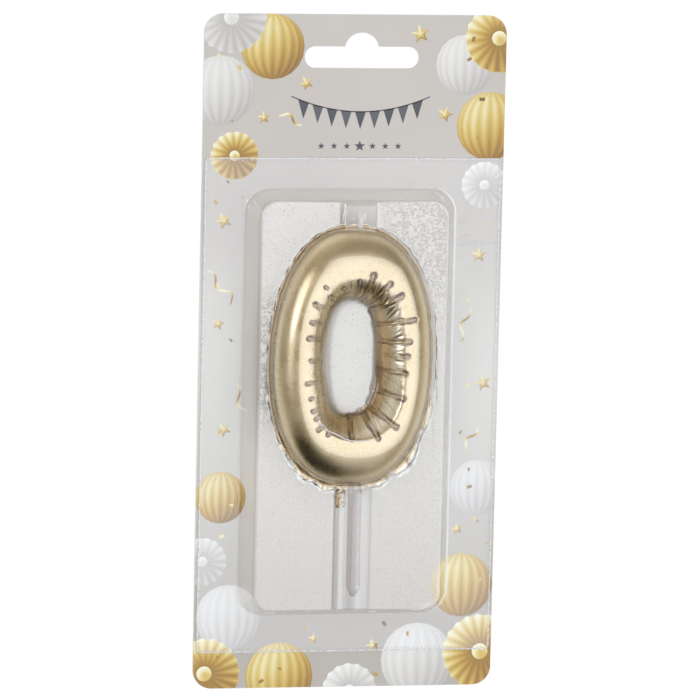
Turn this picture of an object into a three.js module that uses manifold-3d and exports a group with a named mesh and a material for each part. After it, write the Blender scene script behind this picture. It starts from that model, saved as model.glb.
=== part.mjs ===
// A wax number candle, a nought shaped like a foil balloon, in its shop pack: a printed card with a
// hang slot and a clear thermoformed blister sealed over the candle.
// The pack lies on its back. X runs to the right, Y towards the hang slot, Z out of the printed face.
// The origin is the centre of the card's back face. All sizes are in millimetres.

import * as THREE from "three";
import { mergeVertices } from "three/addons/utils/BufferGeometryUtils.js";
import Module from "manifold-3d";

const wasm = await Module();
wasm.setup();

// Card
const CARD_THICKNESS = 0.5;
const CARD_CORNER_RADIUS = 5;
const CARD_SIDE_MARGIN = 0.7;
const CARD_HEADER = 37.4;
const CARD_FOOT = 9.55;
const CARD_CORNER_STEPS = 6;

// Hang slot: a long slot with a domed notch for the peg above its middle
const SLOT_WIDTH = 30.2;
const SLOT_HEIGHT = 5.6;
const SLOT_DROP = 11.2;
const SLOT_SIDE_SHIFT = 1.6;
const NOTCH_RADIUS = 4.6;
const NOTCH_RISE = 3.65;
const SLOT_CURVE_STEPS = 12;

// Candle: a ring of wax whose outline and hole are both rounded ovals
const CANDLE_WIDTH = 41.8;
const CANDLE_HEIGHT = 66.4;
const CANDLE_THICKNESS = 15.6;
const CANDLE_FULLNESS = 2.3;
const HOLE_WIDTH = 12.8;
const HOLE_HEIGHT = 29.2;
const HOLE_FULLNESS = 2.6;
const HOLE_RISE = 0.4;
const CREST_FROM_HOLE = 7.2;

// Seam round the candle's outline, with a scalloped edge
const RIM_WIDTH = 0.7;
const RIM_THICKNESS = 0.5;
const SCALLOP_DEPTH = 0.8;
const SCALLOP_COUNT = 24;

// Puckers in the wall of the hole
const PUCKER_DEPTH = 0.6;
const PUCKER_COUNT = 24;
const PUCKER_SHARPNESS = 3;
const STEPS_PER_PUCKER = 4;

// Tail of the balloon below the nought
const TAIL_WIDTH = 3.4;
const TAIL_NECK_WIDTH = 2.2;
const TAIL_LENGTH = 5.6;
const TAIL_THICKNESS = 1;
const TAIL_ROOT = 1.6;
const TAIL_NECK_LENGTH = 1.9;
const TAIL_SIDE_SHIFT = -2.3;

// Wick and pick stand on one line through the wax
const CORE_SIDE_SHIFT = 1.5;
const SOCKET_CLEARANCE = 0.3;
const WICK_DIAMETER = 2.2;
const WICK_EXPOSED = 4.9;
const WICK_BURIED = 8;
const WICK_TIP_LENGTH = 0.7;
const PICK_WIDTH = 3.6;
const PICK_THICKNESS = 1.8;
const PICK_EXPOSED = 30.4;
const PICK_BURIED = 12;
const PICK_TAPER_LENGTH = 9;
const PICK_TIP_WIDTH = 1;

// Blister: flange, drafted cavity with a flat top, and channels over the wick and the pick
const FILM_THICKNESS = 0.4;
const SEAT_GAP = 0.3;
const FILM_CLEARANCE = 0.5;
const PLATEAU_ABOVE_SEAM = 1.4;
const PLATEAU_SIDE_MARGIN = 2.25;
const WICK_ROOM = 2.85;
const PICK_ROOM = 3.5;
const SIDE_DRAFT = 3.4;
const END_DRAFT = 2.4;
const CAVITY_CORNER_RADIUS = 6.5;
const CAVITY_EDGE_RADIUS = 1;
const CHANNEL_WIDTH = 9.8;
const CHANNEL_RISE = 2.2;
const CHANNEL_CORNER_RADIUS = 2;
const CHANNEL_DRAFT = 0.8;
const CHANNEL_OVERLAP = 4;
const FLANGE_LEFT_BAND = 10.5;
const FLANGE_RIGHT_BAND = 12;
const FLANGE_TOP_BAND = 7.9;
const FLANGE_BOTTOM_BAND = 10.3;
const FLANGE_CORNER_RADIUS = 3;

// Fineness of the curved surfaces
const BUBBLE_STEPS = 72;
const ARC_STEPS = 5;
const BACK_ARC_STEPS = 4;
const CORNER_STEPS = 5;
const EDGE_STEPS = 3;
const WICK_SIDES = 12;
const CUT_MARGIN = 1;

// Levels above the card's back face
const seatLevel = CARD_THICKNESS + SEAT_GAP;
const flangeTop = seatLevel + FILM_THICKNESS;
const crestRise = CANDLE_THICKNESS / 2;
const seamLevel = seatLevel + crestRise;
const plateauUnderside = seamLevel + PLATEAU_ABOVE_SEAM;
const plateauTop = plateauUnderside + FILM_THICKNESS;

// Widths and heights, from the candle outwards to the card
const rimReach = RIM_WIDTH + SCALLOP_DEPTH;
const plateauWidth = CANDLE_WIDTH + 2 * (rimReach + PLATEAU_SIDE_MARGIN);
const plateauAboveCandle = CANDLE_HEIGHT / 2 + WICK_EXPOSED + WICK_ROOM;
const plateauBelowCandle = CANDLE_HEIGHT / 2 + PICK_EXPOSED + PICK_ROOM;
const plateauHeight = plateauAboveCandle + plateauBelowCandle;
const cavityWidth = plateauWidth + 2 * SIDE_DRAFT;
const cavityHeight = plateauHeight + 2 * END_DRAFT;
const flangeWidth = FLANGE_LEFT_BAND + cavityWidth + FLANGE_RIGHT_BAND;
const flangeHeight = FLANGE_TOP_BAND + cavityHeight + FLANGE_BOTTOM_BAND;
const cardWidth = flangeWidth + 2 * CARD_SIDE_MARGIN;
const cardHeight = CARD_HEADER + flangeHeight + CARD_FOOT;

// Centres, from the card's left and top edges
const flangeX = 0;
const flangeY = cardHeight / 2 - CARD_HEADER - flangeHeight / 2;
const cavityX = -flangeWidth / 2 + FLANGE_LEFT_BAND + cavityWidth / 2;
const cavityY = flangeY + flangeHeight / 2 - FLANGE_TOP_BAND - cavityHeight / 2;
const candleX = cavityX;
const candleY = cavityY + plateauHeight / 2 - plateauAboveCandle;

// The point where a ray from an oval's centre meets its outline
function ovalPoint(width, height, fullness, angle) {
  const across = Math.abs(Math.cos(angle) / (width / 2)) ** fullness;
  const along = Math.abs(Math.sin(angle) / (height / 2)) ** fullness;
  const reach = (across + along) ** (-1 / fullness);
  return new THREE.Vector2(reach * Math.cos(angle), reach * Math.sin(angle));
}

// The rays that cut the ring into cross-sections, evenly spread round an oval of its mean shape
function ringAngles(count) {
  const across = CANDLE_WIDTH + HOLE_WIDTH;
  const along = CANDLE_HEIGHT + HOLE_HEIGHT;
  return Array.from({ length: count }, (_, step) => {
    const turn = (2 * Math.PI * step) / count;
    return Math.atan2(along * Math.sin(turn), across * Math.cos(turn));
  });
}

function meshGeometry(points, triangles) {
  const geometry = new THREE.BufferGeometry();
  geometry.setAttribute("position", new THREE.Float32BufferAttribute(points, 3));
  geometry.setIndex(triangles);
  return geometry;
}

// A closed tube round the nought. sectionAt(step, width) gives one cross-section as points: x is the
// distance inwards from the outline, y the height above the seam.
function ringGeometry(count, sectionAt) {
  const points = [];
  const triangles = [];
  let sides = 0;
  ringAngles(count).forEach((angle, step) => {
    const outer = ovalPoint(CANDLE_WIDTH, CANDLE_HEIGHT, CANDLE_FULLNESS, angle);
    const inner = ovalPoint(HOLE_WIDTH, HOLE_HEIGHT, HOLE_FULLNESS, angle);
    inner.y += HOLE_RISE;
    const inwards = inner.clone().sub(outer);
    const width = inwards.length();
    inwards.divideScalar(width);
    const section = sectionAt(step, width);
    sides = section.length;
    section.forEach(({ x, y }) => points.push(outer.x + inwards.x * x, outer.y + inwards.y * x, y));
  });
  for (let ring = 0; ring < count; ring += 1) {
    const next = (ring + 1) % count;
    for (let side = 0; side < sides; side += 1) {
      const after = (side + 1) % sides;
      const a = ring * sides + side;
      const b = next * sides + side;
      const c = next * sides + after;
      const d = ring * sides + after;
      triangles.push(a, b, c, a, c, d);
    }
  }
  return meshGeometry(points, triangles);
}

// The rounded front of a cross-section, from the outline over the crest to the hole. grow widens it
// on both sides and above, and foot is the height where it starts and ends.
function domeSection(width, grow, foot, steps) {
  const crest = width - CREST_FROM_HOLE;
  const rise = crestRise + grow;
  const start = Math.asin(foot / rise);
  const sweep = Math.PI / 2 - start;
  const climb = Array.from({ length: steps + 1 }, (_, step) => start + (sweep * step) / steps);
  const outside = climb.map(
    (turn) => new THREE.Vector2(crest - (crest + grow) * Math.cos(turn), rise * Math.sin(turn)),
  );
  const inside = climb.slice(0, -1).reverse().map(
    (turn) =>
      new THREE.Vector2(crest + (CREST_FROM_HOLE + grow) * Math.cos(turn), rise * Math.sin(turn)),
  );
  return [...outside, ...inside];
}

// How far the puckers draw the hole's wall back into the wax, fading out at the crest and the seam
function puckerDraw(step, point, width) {
  const pinch = ((1 + Math.cos((2 * Math.PI * step) / STEPS_PER_PUCKER)) / 2) ** PUCKER_SHARPNESS;
  const reach = THREE.MathUtils.clamp((point.x - width + CREST_FROM_HOLE) / CREST_FROM_HOLE, 0, 1);
  return PUCKER_DEPTH * pinch * Math.sin(Math.PI * reach);
}

function candleSection(step, width) {
  const scallopSteps = (PUCKER_COUNT * STEPS_PER_PUCKER) / SCALLOP_COUNT;
  const scallop = Math.abs(Math.sin((Math.PI * step) / scallopSteps));
  const rimEdge = -(RIM_WIDTH + SCALLOP_DEPTH * scallop);
  const halfRim = RIM_THICKNESS / 2;
  const front = domeSection(width, 0, halfRim, ARC_STEPS);
  const back = domeSection(width, 0, halfRim, BACK_ARC_STEPS).reverse();
  back.forEach((point) => {
    point.y = -point.y;
  });
  [...front, ...back].forEach((point) => {
    point.x -= puckerDraw(step, point, width);
  });
  const rim = [new THREE.Vector2(rimEdge, -halfRim), new THREE.Vector2(rimEdge, halfRim)];
  return [...rim, ...front, ...back];
}

// A rounded rectangle as points, anticlockwise, between four edges
function roundedOutline({ left, right, bottom, top, radius, steps }) {
  const corners = [
    [right - radius, top - radius, 0],
    [left + radius, top - radius, 1],
    [left + radius, bottom + radius, 2],
    [right - radius, bottom + radius, 3],
  ];
  return corners.flatMap(([x, y, quarter]) =>
    Array.from({ length: steps + 1 }, (_, step) => {
      const turn = (Math.PI / 2) * (quarter + step / steps);
      return new THREE.Vector2(x + radius * Math.cos(turn), y + radius * Math.sin(turn));
    }),
  );
}

// A closed solid through level outlines with equal numbers of points, from the lowest up
function loftGeometry(levels) {
  const count = levels[0].outline.length;
  const points = levels.flatMap(({ outline, z }) => outline.flatMap(({ x, y }) => [x, y, z]));
  const triangles = [];
  for (let level = 0; level + 1 < levels.length; level += 1) {
    for (let side = 0; side < count; side += 1) {
      const after = (side + 1) % count;
      const a = level * count + side;
      const b = level * count + after;
      triangles.push(a, b, b + count, a, b + count, a + count);
    }
  }
  const topStart = (levels.length - 1) * count;
  THREE.ShapeUtils.triangulateShape(levels[0].outline, []).forEach(([a, b, c]) => {
    triangles.push(c, b, a);
  });
  THREE.ShapeUtils.triangulateShape(levels[levels.length - 1].outline, []).forEach(([a, b, c]) => {
    triangles.push(topStart + a, topStart + b, topStart + c);
  });
  return meshGeometry(points, triangles);
}

// Levels of a rounded upper edge: outlineAt(z, inset) gives the outline at a height
function roundedTopLevels(bottom, top, radius, outlineAt) {
  const levels = [{ z: bottom, outline: outlineAt(bottom, 0) }];
  for (let step = 0; step <= EDGE_STEPS; step += 1) {
    const turn = (Math.PI / 2) * (step / EDGE_STEPS);
    const z = top - radius * (1 - Math.sin(turn));
    levels.push({ z, outline: outlineAt(z, radius * (1 - Math.cos(turn))) });
  }
  return levels;
}

function solidFrom(geometry) {
  const bare = geometry.clone();
  bare.deleteAttribute("normal");
  bare.deleteAttribute("uv");
  const merged = mergeVertices(bare);
  const vertProperties = merged.attributes.position.array;
  const triVerts = Uint32Array.from(merged.index.array);
  return new wasm.Manifold(new wasm.Mesh({ numProp: 3, vertProperties, triVerts }));
}

function geometryFrom(solid) {
  const { vertProperties, triVerts } = solid.getMesh();
  return meshGeometry(Array.from(vertProperties), Array.from(triVerts));
}

function slotPath() {
  const x = SLOT_SIDE_SHIFT;
  const y = cardHeight / 2 - SLOT_DROP;
  const endRadius = SLOT_HEIGHT / 2;
  const endX = SLOT_WIDTH / 2 - endRadius;
  const notchY = y + endRadius + NOTCH_RISE - NOTCH_RADIUS;
  const notchStart = Math.asin((NOTCH_RADIUS - NOTCH_RISE) / NOTCH_RADIUS);
  const path = new THREE.Path();
  path.absarc(x - endX, y, endRadius, Math.PI / 2, (3 * Math.PI) / 2, false);
  path.absarc(x + endX, y, endRadius, -Math.PI / 2, Math.PI / 2, false);
  path.absarc(x, notchY, NOTCH_RADIUS, notchStart, Math.PI - notchStart, false);
  path.closePath();
  return path;
}

function cardGeometry() {
  const outline = roundedOutline({
    left: -cardWidth / 2,
    right: cardWidth / 2,
    bottom: -cardHeight / 2,
    top: cardHeight / 2,
    radius: CARD_CORNER_RADIUS,
    steps: CARD_CORNER_STEPS,
  });
  const shape = new THREE.Shape(outline);
  shape.holes.push(slotPath());
  const options = { depth: CARD_THICKNESS, bevelEnabled: false, curveSegments: SLOT_CURVE_STEPS };
  return new THREE.ExtrudeGeometry(shape, options);
}

// The balloon's tail: a flat neck that flares at its end, rooted in the seam below the nought
function tailGeometry() {
  const top = TAIL_ROOT;
  const shape = new THREE.Shape();
  shape.moveTo(-TAIL_NECK_WIDTH / 2, top);
  shape.lineTo(-TAIL_NECK_WIDTH / 2, -TAIL_NECK_LENGTH);
  shape.lineTo(-TAIL_WIDTH / 2, -TAIL_LENGTH);
  shape.lineTo(TAIL_WIDTH / 2, -TAIL_LENGTH);
  shape.lineTo(TAIL_NECK_WIDTH / 2, -TAIL_NECK_LENGTH);
  shape.lineTo(TAIL_NECK_WIDTH / 2, top);
  const geometry = new THREE.ExtrudeGeometry(shape, { depth: TAIL_THICKNESS, bevelEnabled: false });
  return geometry.translate(TAIL_SIDE_SHIFT, -CANDLE_HEIGHT / 2, -TAIL_THICKNESS / 2);
}

// Where the line of the wick and the pick leaves the candle's outline
function coreEdge() {
  const share = Math.abs(CORE_SIDE_SHIFT / (CANDLE_WIDTH / 2)) ** CANDLE_FULLNESS;
  return (CANDLE_HEIGHT / 2) * (1 - share) ** (1 / CANDLE_FULLNESS);
}

function socketCuts() {
  const wickHole = new THREE.CylinderGeometry(
    WICK_DIAMETER / 2 + SOCKET_CLEARANCE,
    WICK_DIAMETER / 2 + SOCKET_CLEARANCE,
    WICK_BURIED + SOCKET_CLEARANCE + rimReach + CUT_MARGIN,
    WICK_SIDES,
  );
  const wickMiddle = (rimReach + CUT_MARGIN - WICK_BURIED - SOCKET_CLEARANCE) / 2;
  wickHole.translate(CORE_SIDE_SHIFT, coreEdge() + wickMiddle, 0);
  const pickSlot = new THREE.BoxGeometry(
    PICK_WIDTH + 2 * SOCKET_CLEARANCE,
    PICK_BURIED + SOCKET_CLEARANCE + rimReach + CUT_MARGIN,
    PICK_THICKNESS + 2 * SOCKET_CLEARANCE,
  );
  const pickMiddle = (PICK_BURIED + SOCKET_CLEARANCE - rimReach - CUT_MARGIN) / 2;
  pickSlot.translate(CORE_SIDE_SHIFT, -coreEdge() + pickMiddle, 0);
  return solidFrom(wickHole).add(solidFrom(pickSlot));
}

function candleGeometry() {
  const ring = solidFrom(ringGeometry(PUCKER_COUNT * STEPS_PER_PUCKER, candleSection));
  return geometryFrom(ring.add(solidFrom(tailGeometry())).subtract(socketCuts()));
}

function wickGeometry() {
  const radius = WICK_DIAMETER / 2;
  const bottom = coreEdge() - WICK_BURIED;
  const top = coreEdge() + WICK_EXPOSED;
  const profile = [
    new THREE.Vector2(0, bottom),
    new THREE.Vector2(radius, bottom),
    new THREE.Vector2(radius, top - WICK_TIP_LENGTH),
    new THREE.Vector2(radius / 2, top),
    new THREE.Vector2(0, top),
  ];
  return new THREE.LatheGeometry(profile, WICK_SIDES).translate(CORE_SIDE_SHIFT, 0, 0);
}

function pickGeometry() {
  const half = PICK_WIDTH / 2;
  const top = -coreEdge() + PICK_BURIED;
  const tip = -coreEdge() - PICK_EXPOSED;
  const shape = new THREE.Shape();
  shape.moveTo(-half, top);
  shape.lineTo(-half, tip + PICK_TAPER_LENGTH);
  shape.lineTo(-PICK_TIP_WIDTH / 2, tip);
  shape.lineTo(PICK_TIP_WIDTH / 2, tip);
  shape.lineTo(half, tip + PICK_TAPER_LENGTH);
  shape.lineTo(half, top);
  const geometry = new THREE.ExtrudeGeometry(shape, { depth: PICK_THICKNESS, bevelEnabled: false });
  return geometry.translate(CORE_SIDE_SHIFT, 0, -PICK_THICKNESS / 2);
}

// The cavity's half sizes at a height, which its drafted walls narrow towards the plateau
function cavityHalfSizes(z) {
  const share = (z - seatLevel) / (plateauTop - seatLevel);
  return {
    across: cavityWidth / 2 - SIDE_DRAFT * share,
    along: cavityHeight / 2 - END_DRAFT * share,
  };
}

// The cavity as a solid: its outer face with inset 0, its inner face with inset by the film
function cavitySolid(inset, bottom, top) {
  const outlineAt = (z, edgeInset) => {
    const { across, along } = cavityHalfSizes(Math.max(z, seatLevel));
    const shrink = inset + edgeInset;
    return roundedOutline({
      left: cavityX - across + shrink,
      right: cavityX + across - shrink,
      bottom: cavityY - along + shrink,
      top: cavityY + along - shrink,
      radius: CAVITY_CORNER_RADIUS - shrink,
      steps: CORNER_STEPS,
    });
  };
  return solidFrom(loftGeometry(roundedTopLevels(bottom, top, CAVITY_EDGE_RADIUS, outlineAt)));
}

// A channel over the wick or the pick, from inside the bubble to the cavity's end wall
function channelSolid(direction, inset, bottom) {
  const top = plateauTop + CHANNEL_RISE - inset;
  const start = candleY + direction * (CANDLE_HEIGHT / 2 - CHANNEL_OVERLAP);
  const outlineAt = (z, edgeInset) => {
    const end = cavityY + direction * (cavityHalfSizes(z).along - inset);
    const draft = (CHANNEL_DRAFT * (z - plateauTop)) / CHANNEL_RISE;
    const half = CHANNEL_WIDTH / 2 - inset - edgeInset - Math.max(draft, 0);
    return roundedOutline({
      left: cavityX - half,
      right: cavityX + half,
      bottom: Math.min(start, end),
      top: Math.max(start, end),
      radius: CHANNEL_CORNER_RADIUS - inset,
      steps: CORNER_STEPS,
    });
  };
  return solidFrom(loftGeometry(roundedTopLevels(bottom, top, CAVITY_EDGE_RADIUS, outlineAt)));
}

// The bubble over the candle's front half, whose foot lies below the plateau's top face
function bubbleSolid(grow, foot) {
  const section = (step, width) => domeSection(width, grow, foot - seamLevel, ARC_STEPS);
  const geometry = ringGeometry(BUBBLE_STEPS, section);
  return solidFrom(geometry.translate(candleX, candleY, seamLevel));
}

function flangeSolid() {
  const outline = roundedOutline({
    left: flangeX - flangeWidth / 2,
    right: flangeX + flangeWidth / 2,
    bottom: flangeY - flangeHeight / 2,
    top: flangeY + flangeHeight / 2,
    radius: FLANGE_CORNER_RADIUS,
    steps: CORNER_STEPS,
  });
  return solidFrom(loftGeometry([{ z: seatLevel, outline }, { z: flangeTop, outline }]));
}

function blisterGeometry() {
  const outerFoot = plateauUnderside;
  const innerFoot = plateauUnderside - FILM_THICKNESS;
  const outer = flangeSolid()
    .add(cavitySolid(0, seatLevel, plateauTop))
    .add(bubbleSolid(FILM_CLEARANCE + FILM_THICKNESS, outerFoot))
    .add(channelSolid(1, 0, outerFoot))
    .add(channelSolid(-1, 0, outerFoot));
  const inner = cavitySolid(FILM_THICKNESS, seatLevel - CUT_MARGIN, plateauUnderside)
    .add(bubbleSolid(FILM_CLEARANCE, innerFoot))
    .add(channelSolid(1, FILM_THICKNESS, innerFoot))
    .add(channelSolid(-1, FILM_THICKNESS, innerFoot));
  return geometryFrom(outer.subtract(inner));
}

function namedMesh(name, geometry, look) {
  const mesh = new THREE.Mesh(geometry, new THREE.MeshStandardMaterial(look));
  mesh.name = name;
  return mesh;
}

const cardLook = { color: 0xd0cbc5, roughness: 0.55, metalness: 0 };
const goldLook = { color: 0xc8ab74, roughness: 0.28, metalness: 0.85 };
const wickLook = { color: 0xeeeae0, roughness: 0.7, metalness: 0 };
const pickLook = { color: 0xeef0f0, roughness: 0.15, metalness: 0, transparent: true, opacity: 0.5 };
const filmLook = { color: 0xf4f6f6, roughness: 0.08, metalness: 0, transparent: true, opacity: 0.25 };

const candle = new THREE.Group();
candle.position.set(candleX, candleY, seamLevel);
candle.add(
  namedMesh("candle_body", candleGeometry(), goldLook),
  namedMesh("wick", wickGeometry(), wickLook),
  namedMesh("pick", pickGeometry(), pickLook),
);

const pack = new THREE.Group();
pack.add(
  namedMesh("card", cardGeometry(), cardLook),
  candle,
  namedMesh("blister", blisterGeometry(), filmLook),
);

export default pack;
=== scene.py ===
"""A gold number candle in its shop pack, dressed for a product picture.

The pack lies on its back on a white table, as in the photograph: a printed card with a hang slot, a
clear thermoformed blister sealed on it, and in the blister a wax nought with a metallic gold lacquer,
shaped like a foil balloon, with its wick and its clear pick.
Sizes are in millimetres and become metres where a mesh is made. Turns round the nought run
anticlockwise from its right.
"""

import math

import bmesh
import bpy
import numpy as np
from mathutils import Matrix, Vector
from mathutils.geometry import tessellate_polygon


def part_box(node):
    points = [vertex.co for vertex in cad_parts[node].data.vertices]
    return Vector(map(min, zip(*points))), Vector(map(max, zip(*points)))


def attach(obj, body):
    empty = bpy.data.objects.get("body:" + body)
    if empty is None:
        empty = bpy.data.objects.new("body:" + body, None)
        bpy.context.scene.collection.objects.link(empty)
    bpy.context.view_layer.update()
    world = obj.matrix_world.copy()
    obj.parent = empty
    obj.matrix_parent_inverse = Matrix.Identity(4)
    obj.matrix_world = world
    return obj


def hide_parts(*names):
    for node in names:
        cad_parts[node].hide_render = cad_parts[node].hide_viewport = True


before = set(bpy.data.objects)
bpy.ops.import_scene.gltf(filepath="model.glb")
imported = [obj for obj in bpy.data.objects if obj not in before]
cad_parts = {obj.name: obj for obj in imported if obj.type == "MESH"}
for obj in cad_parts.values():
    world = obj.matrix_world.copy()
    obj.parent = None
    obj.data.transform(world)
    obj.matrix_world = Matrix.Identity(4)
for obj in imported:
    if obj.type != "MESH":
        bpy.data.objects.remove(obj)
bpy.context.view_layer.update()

MM = 0.001


def box_mm(node):
    """The lowest and highest corner of a node of the construction, in millimetres."""
    return [np.array(corner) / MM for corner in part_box(node)]


card_low, card_high = box_mm("card")
film_low, film_high = box_mm("blister")
wax_low, wax_high = box_mm("candle_body")
wick_low, wick_high = box_mm("wick")
pick_low, pick_high = box_mm("pick")
card_level = card_high[2]

# Candle: the construction's sizes
CANDLE_WIDTH = 41.8
CANDLE_HEIGHT = 66.4
CANDLE_FULLNESS = 2.3
HOLE_WIDTH = 12.8
HOLE_HEIGHT = 29.2
HOLE_FULLNESS = 2.6
HOLE_RISE = 0.4
TAIL_LENGTH = 5.6
candle_x = (wax_low[0] + wax_high[0]) / 2
candle_y = wax_low[1] + TAIL_LENGTH + CANDLE_HEIGHT / 2
seam_level = (wax_low[2] + wax_high[2]) / 2
crest_rise = (wax_high[2] - wax_low[2]) / 2

# Candle: where it follows the picture more closely
DOME_WIDTH = 42.9
DOME_HEIGHT = 67.8
DOME_SIDE_SHIFT = -0.55
DOME_DENT = 0.9
DOME_DENT_TURN = math.radians(145)
DOME_DENT_NARROWNESS = 8
TAIL_WIDTH = 2.7
TAIL_SIDE_SHIFT = -2.4
TAIL_OVERHANG = 1.1

# Blister: the construction's sizes, to the film's outer face
PLATEAU_ABOVE_SEAM = 1.8
CHANNEL_RISE = 2.2
CHANNEL_WIDTH = 9.8
SIDE_DRAFT = 3.4
END_DRAFT = 2.4
FLANGE_LEFT_BAND = 10.5
FLANGE_RIGHT_BAND = 12
FLANGE_TOP_BAND = 7.9
FLANGE_BOTTOM_BAND = 10.3
CAVITY_CORNER_RADIUS = 6.5
plateau_level = seam_level + PLATEAU_ABOVE_SEAM

# Blister: where it follows the picture more closely
FILM_THICKNESS = 0.3
CHANNEL_SIDE_SHIFT = 0.7
LEFT_DRAFT = 2.95
FLANGE_CORNER_RADIUS = 1.3
channel_x = candle_x + CHANNEL_SIDE_SHIFT

# Camera, solved from the card's four corners in the picture
CAMERA_FROM_LEFT = 10.81
CAMERA_FROM_TOP = 8.04
CAMERA_ROLL = 1.29
CAMERA_DISTANCE = 1400
CAMERA_TARGET = (0.25, 0.84, 0)
PICTURE_PIXELS = 700
PIXELS_PER_SLOPE = 5340
SENSOR_WIDTH = 36


def camera_axes():
    """The camera's right, up and backward directions: a little to the card's left and to its top."""
    left, top, roll = (math.radians(v) for v in (CAMERA_FROM_LEFT, CAMERA_FROM_TOP, CAMERA_ROLL))
    back = Vector((-math.sin(left) * math.cos(top), math.sin(top), math.cos(left) * math.cos(top)))
    right = (-back).cross(Vector((0, 1, 0))).normalized()
    up = back.cross(right)
    side = math.cos(roll) * right + math.sin(roll) * up
    above = math.cos(roll) * up - math.sin(roll) * right
    return side, above, back


def at_pixel(across, down, level):
    """Where the line of sight through a point of the picture meets a level of the pack: (x, y)."""
    side, above, back = camera_axes()
    right, low = ((place - PICTURE_PIXELS / 2) / PIXELS_PER_SLOPE for place in (across, down))
    sight = side * right - above * low - back
    eye = Vector(CAMERA_TARGET) + back * CAMERA_DISTANCE
    point = eye + sight * ((level - eye.z) / sight.z)
    return point.x, point.y


def make_camera():
    """The picture's own view, through a long lens."""
    side, above, back = camera_axes()
    camera = bpy.data.objects.new("camera", bpy.data.cameras.new("camera"))
    turn = Matrix((side, above, back)).transposed().to_4x4()
    place = (Vector(CAMERA_TARGET) + back * CAMERA_DISTANCE) * MM
    camera.matrix_world = Matrix.Translation(place) @ turn
    camera.data.sensor_width = SENSOR_WIDTH
    camera.data.lens = SENSOR_WIDTH * PIXELS_PER_SLOPE / PICTURE_PIXELS
    camera.data.clip_start = 0.05
    camera.data.clip_end = 20
    bpy.context.collection.objects.link(camera)
    bpy.context.scene.camera = camera


make_camera()


# Materials. A noise's scale is written as grains to a millimetre, and a bump's distance in millimetres

def linear(code):
    """A colour written as sRGB hex, as the linear colour that shaders take."""
    parts = [int(code[i:i + 2], 16) / 255 for i in (1, 3, 5)]
    return tuple(c / 12.92 if c <= 0.04045 else ((c + 0.055) / 1.055) ** 2.4 for c in parts) + (1,)


def add_node(tree, kind, inputs=None, stops=(), easing="EASE", **settings):
    """Adds a node, sets its options, and sets or links its inputs, where a node stands for its first
    output. A colour ramp runs through stops, each a position and an sRGB hex."""
    node = tree.nodes.new(kind)
    for key, value in settings.items():
        setattr(node, key, value)
    for key, value in (inputs or {}).items():
        if isinstance(value, bpy.types.Node):
            value = value.outputs[0]
        if isinstance(value, bpy.types.NodeSocket):
            tree.links.new(value, node.inputs[key])
        else:
            node.inputs[key].default_value = value
    if stops:
        node.color_ramp.interpolation = easing
        for _ in stops[2:]:
            node.color_ramp.elements.new(0.5)
        for element, (position, code) in zip(node.color_ramp.elements, stops):
            element.position = position
            element.color = linear(code)
    return node


def make_material(name, build, *values):
    """A procedural material whose nodes build adds."""
    material = bpy.data.materials.new(name)
    material.use_nodes = True
    tree = material.node_tree
    tree.nodes.clear()
    add_node(tree, "ShaderNodeOutputMaterial", {"Surface": build(tree, *values)})
    return material


def coated_board(tree):
    """Coated board, offset printed: a greige tint with painted shade, palest half way up, darker towards
    the card's foot and a little darker towards its top, with a soft cloud, satin from its varnish."""
    place = add_node(tree, "ShaderNodeTexCoord").outputs["Object"]
    along = add_node(tree, "ShaderNodeSeparateXYZ", {"Vector": place}).outputs["Y"]
    up = add_node(tree, "ShaderNodeMapRange", {
        "Value": along, "From Min": card_low[1] * MM - 0.001, "From Max": card_high[1] * MM + 0.001,
    })
    # Painted shade: the tint is palest half way up and darker towards the card's foot, where less light falls
    tint = add_node(tree, "ShaderNodeValToRGB", {"Fac": up},
                    [(0.05, "#bab2a7"), (0.5, "#dcd7cc"), (0.72, "#cac2b8")])
    noise = add_node(tree, "ShaderNodeTexNoise", {"Vector": place, "Scale": 0.02 / MM})
    cloud = add_node(tree, "ShaderNodeValToRGB", {"Fac": noise}, [(0.3, "#f9f9f9"), (0.7, "#ffffff")])
    grain = add_node(tree, "ShaderNodeTexNoise",
                     {"Vector": place, "Scale": 6 / MM, "Detail": 3, "Roughness": 0.7})
    fibre = add_node(tree, "ShaderNodeValToRGB", {"Fac": grain}, [(0.3, "#a09a94"), (0.7, "#ffffff")])
    for share, layer, blend in ((1, cloud, "MULTIPLY"), (0.04, fibre, "OVERLAY")):
        tint = add_node(tree, "ShaderNodeMix", {0: share, 6: tint, 7: layer},
                        data_type="RGBA", blend_type=blend).outputs[2]
    normal = add_node(tree, "ShaderNodeBump", {"Height": grain, "Distance": 0.01 * MM})
    return add_node(tree, "ShaderNodeBsdfPrincipled", {
        "Base Color": tint, "Roughness": 0.42, "Coat Weight": 0.15, "Coat Roughness": 0.25,
        "Normal": normal,
    })


def bare_board(tree):
    """Bleached carton board, unprinted: the card's cut edges and its back, dull, faintly fibrous."""
    place = add_node(tree, "ShaderNodeTexCoord").outputs["Object"]
    fibre = add_node(tree, "ShaderNodeTexNoise",
                     {"Vector": place, "Scale": 2.5 / MM, "Detail": 5, "Roughness": 0.7})
    colour = add_node(tree, "ShaderNodeValToRGB", {"Fac": fibre}, [(0.3, "#dedad2"), (0.7, "#ece9e3")])
    normal = add_node(tree, "ShaderNodeBump", {"Height": fibre, "Distance": 0.02 * MM})
    return add_node(tree, "ShaderNodeBsdfPrincipled",
                    {"Base Color": colour, "Roughness": 0.85, "Normal": normal})


def offset_ink(tree, stops, roughness):
    """Offset ink shaded by the tone that each motif's points carry, from dark to light."""
    tone = add_node(tree, "ShaderNodeAttribute", attribute_name="tone").outputs["Fac"]
    colour = add_node(tree, "ShaderNodeValToRGB", {"Fac": tone}, stops, "LINEAR")
    return add_node(tree, "ShaderNodeBsdfPrincipled", {
        "Base Color": colour, "Roughness": roughness, "Coat Weight": 0.15, "Coat Roughness": 0.25,
    })


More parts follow.
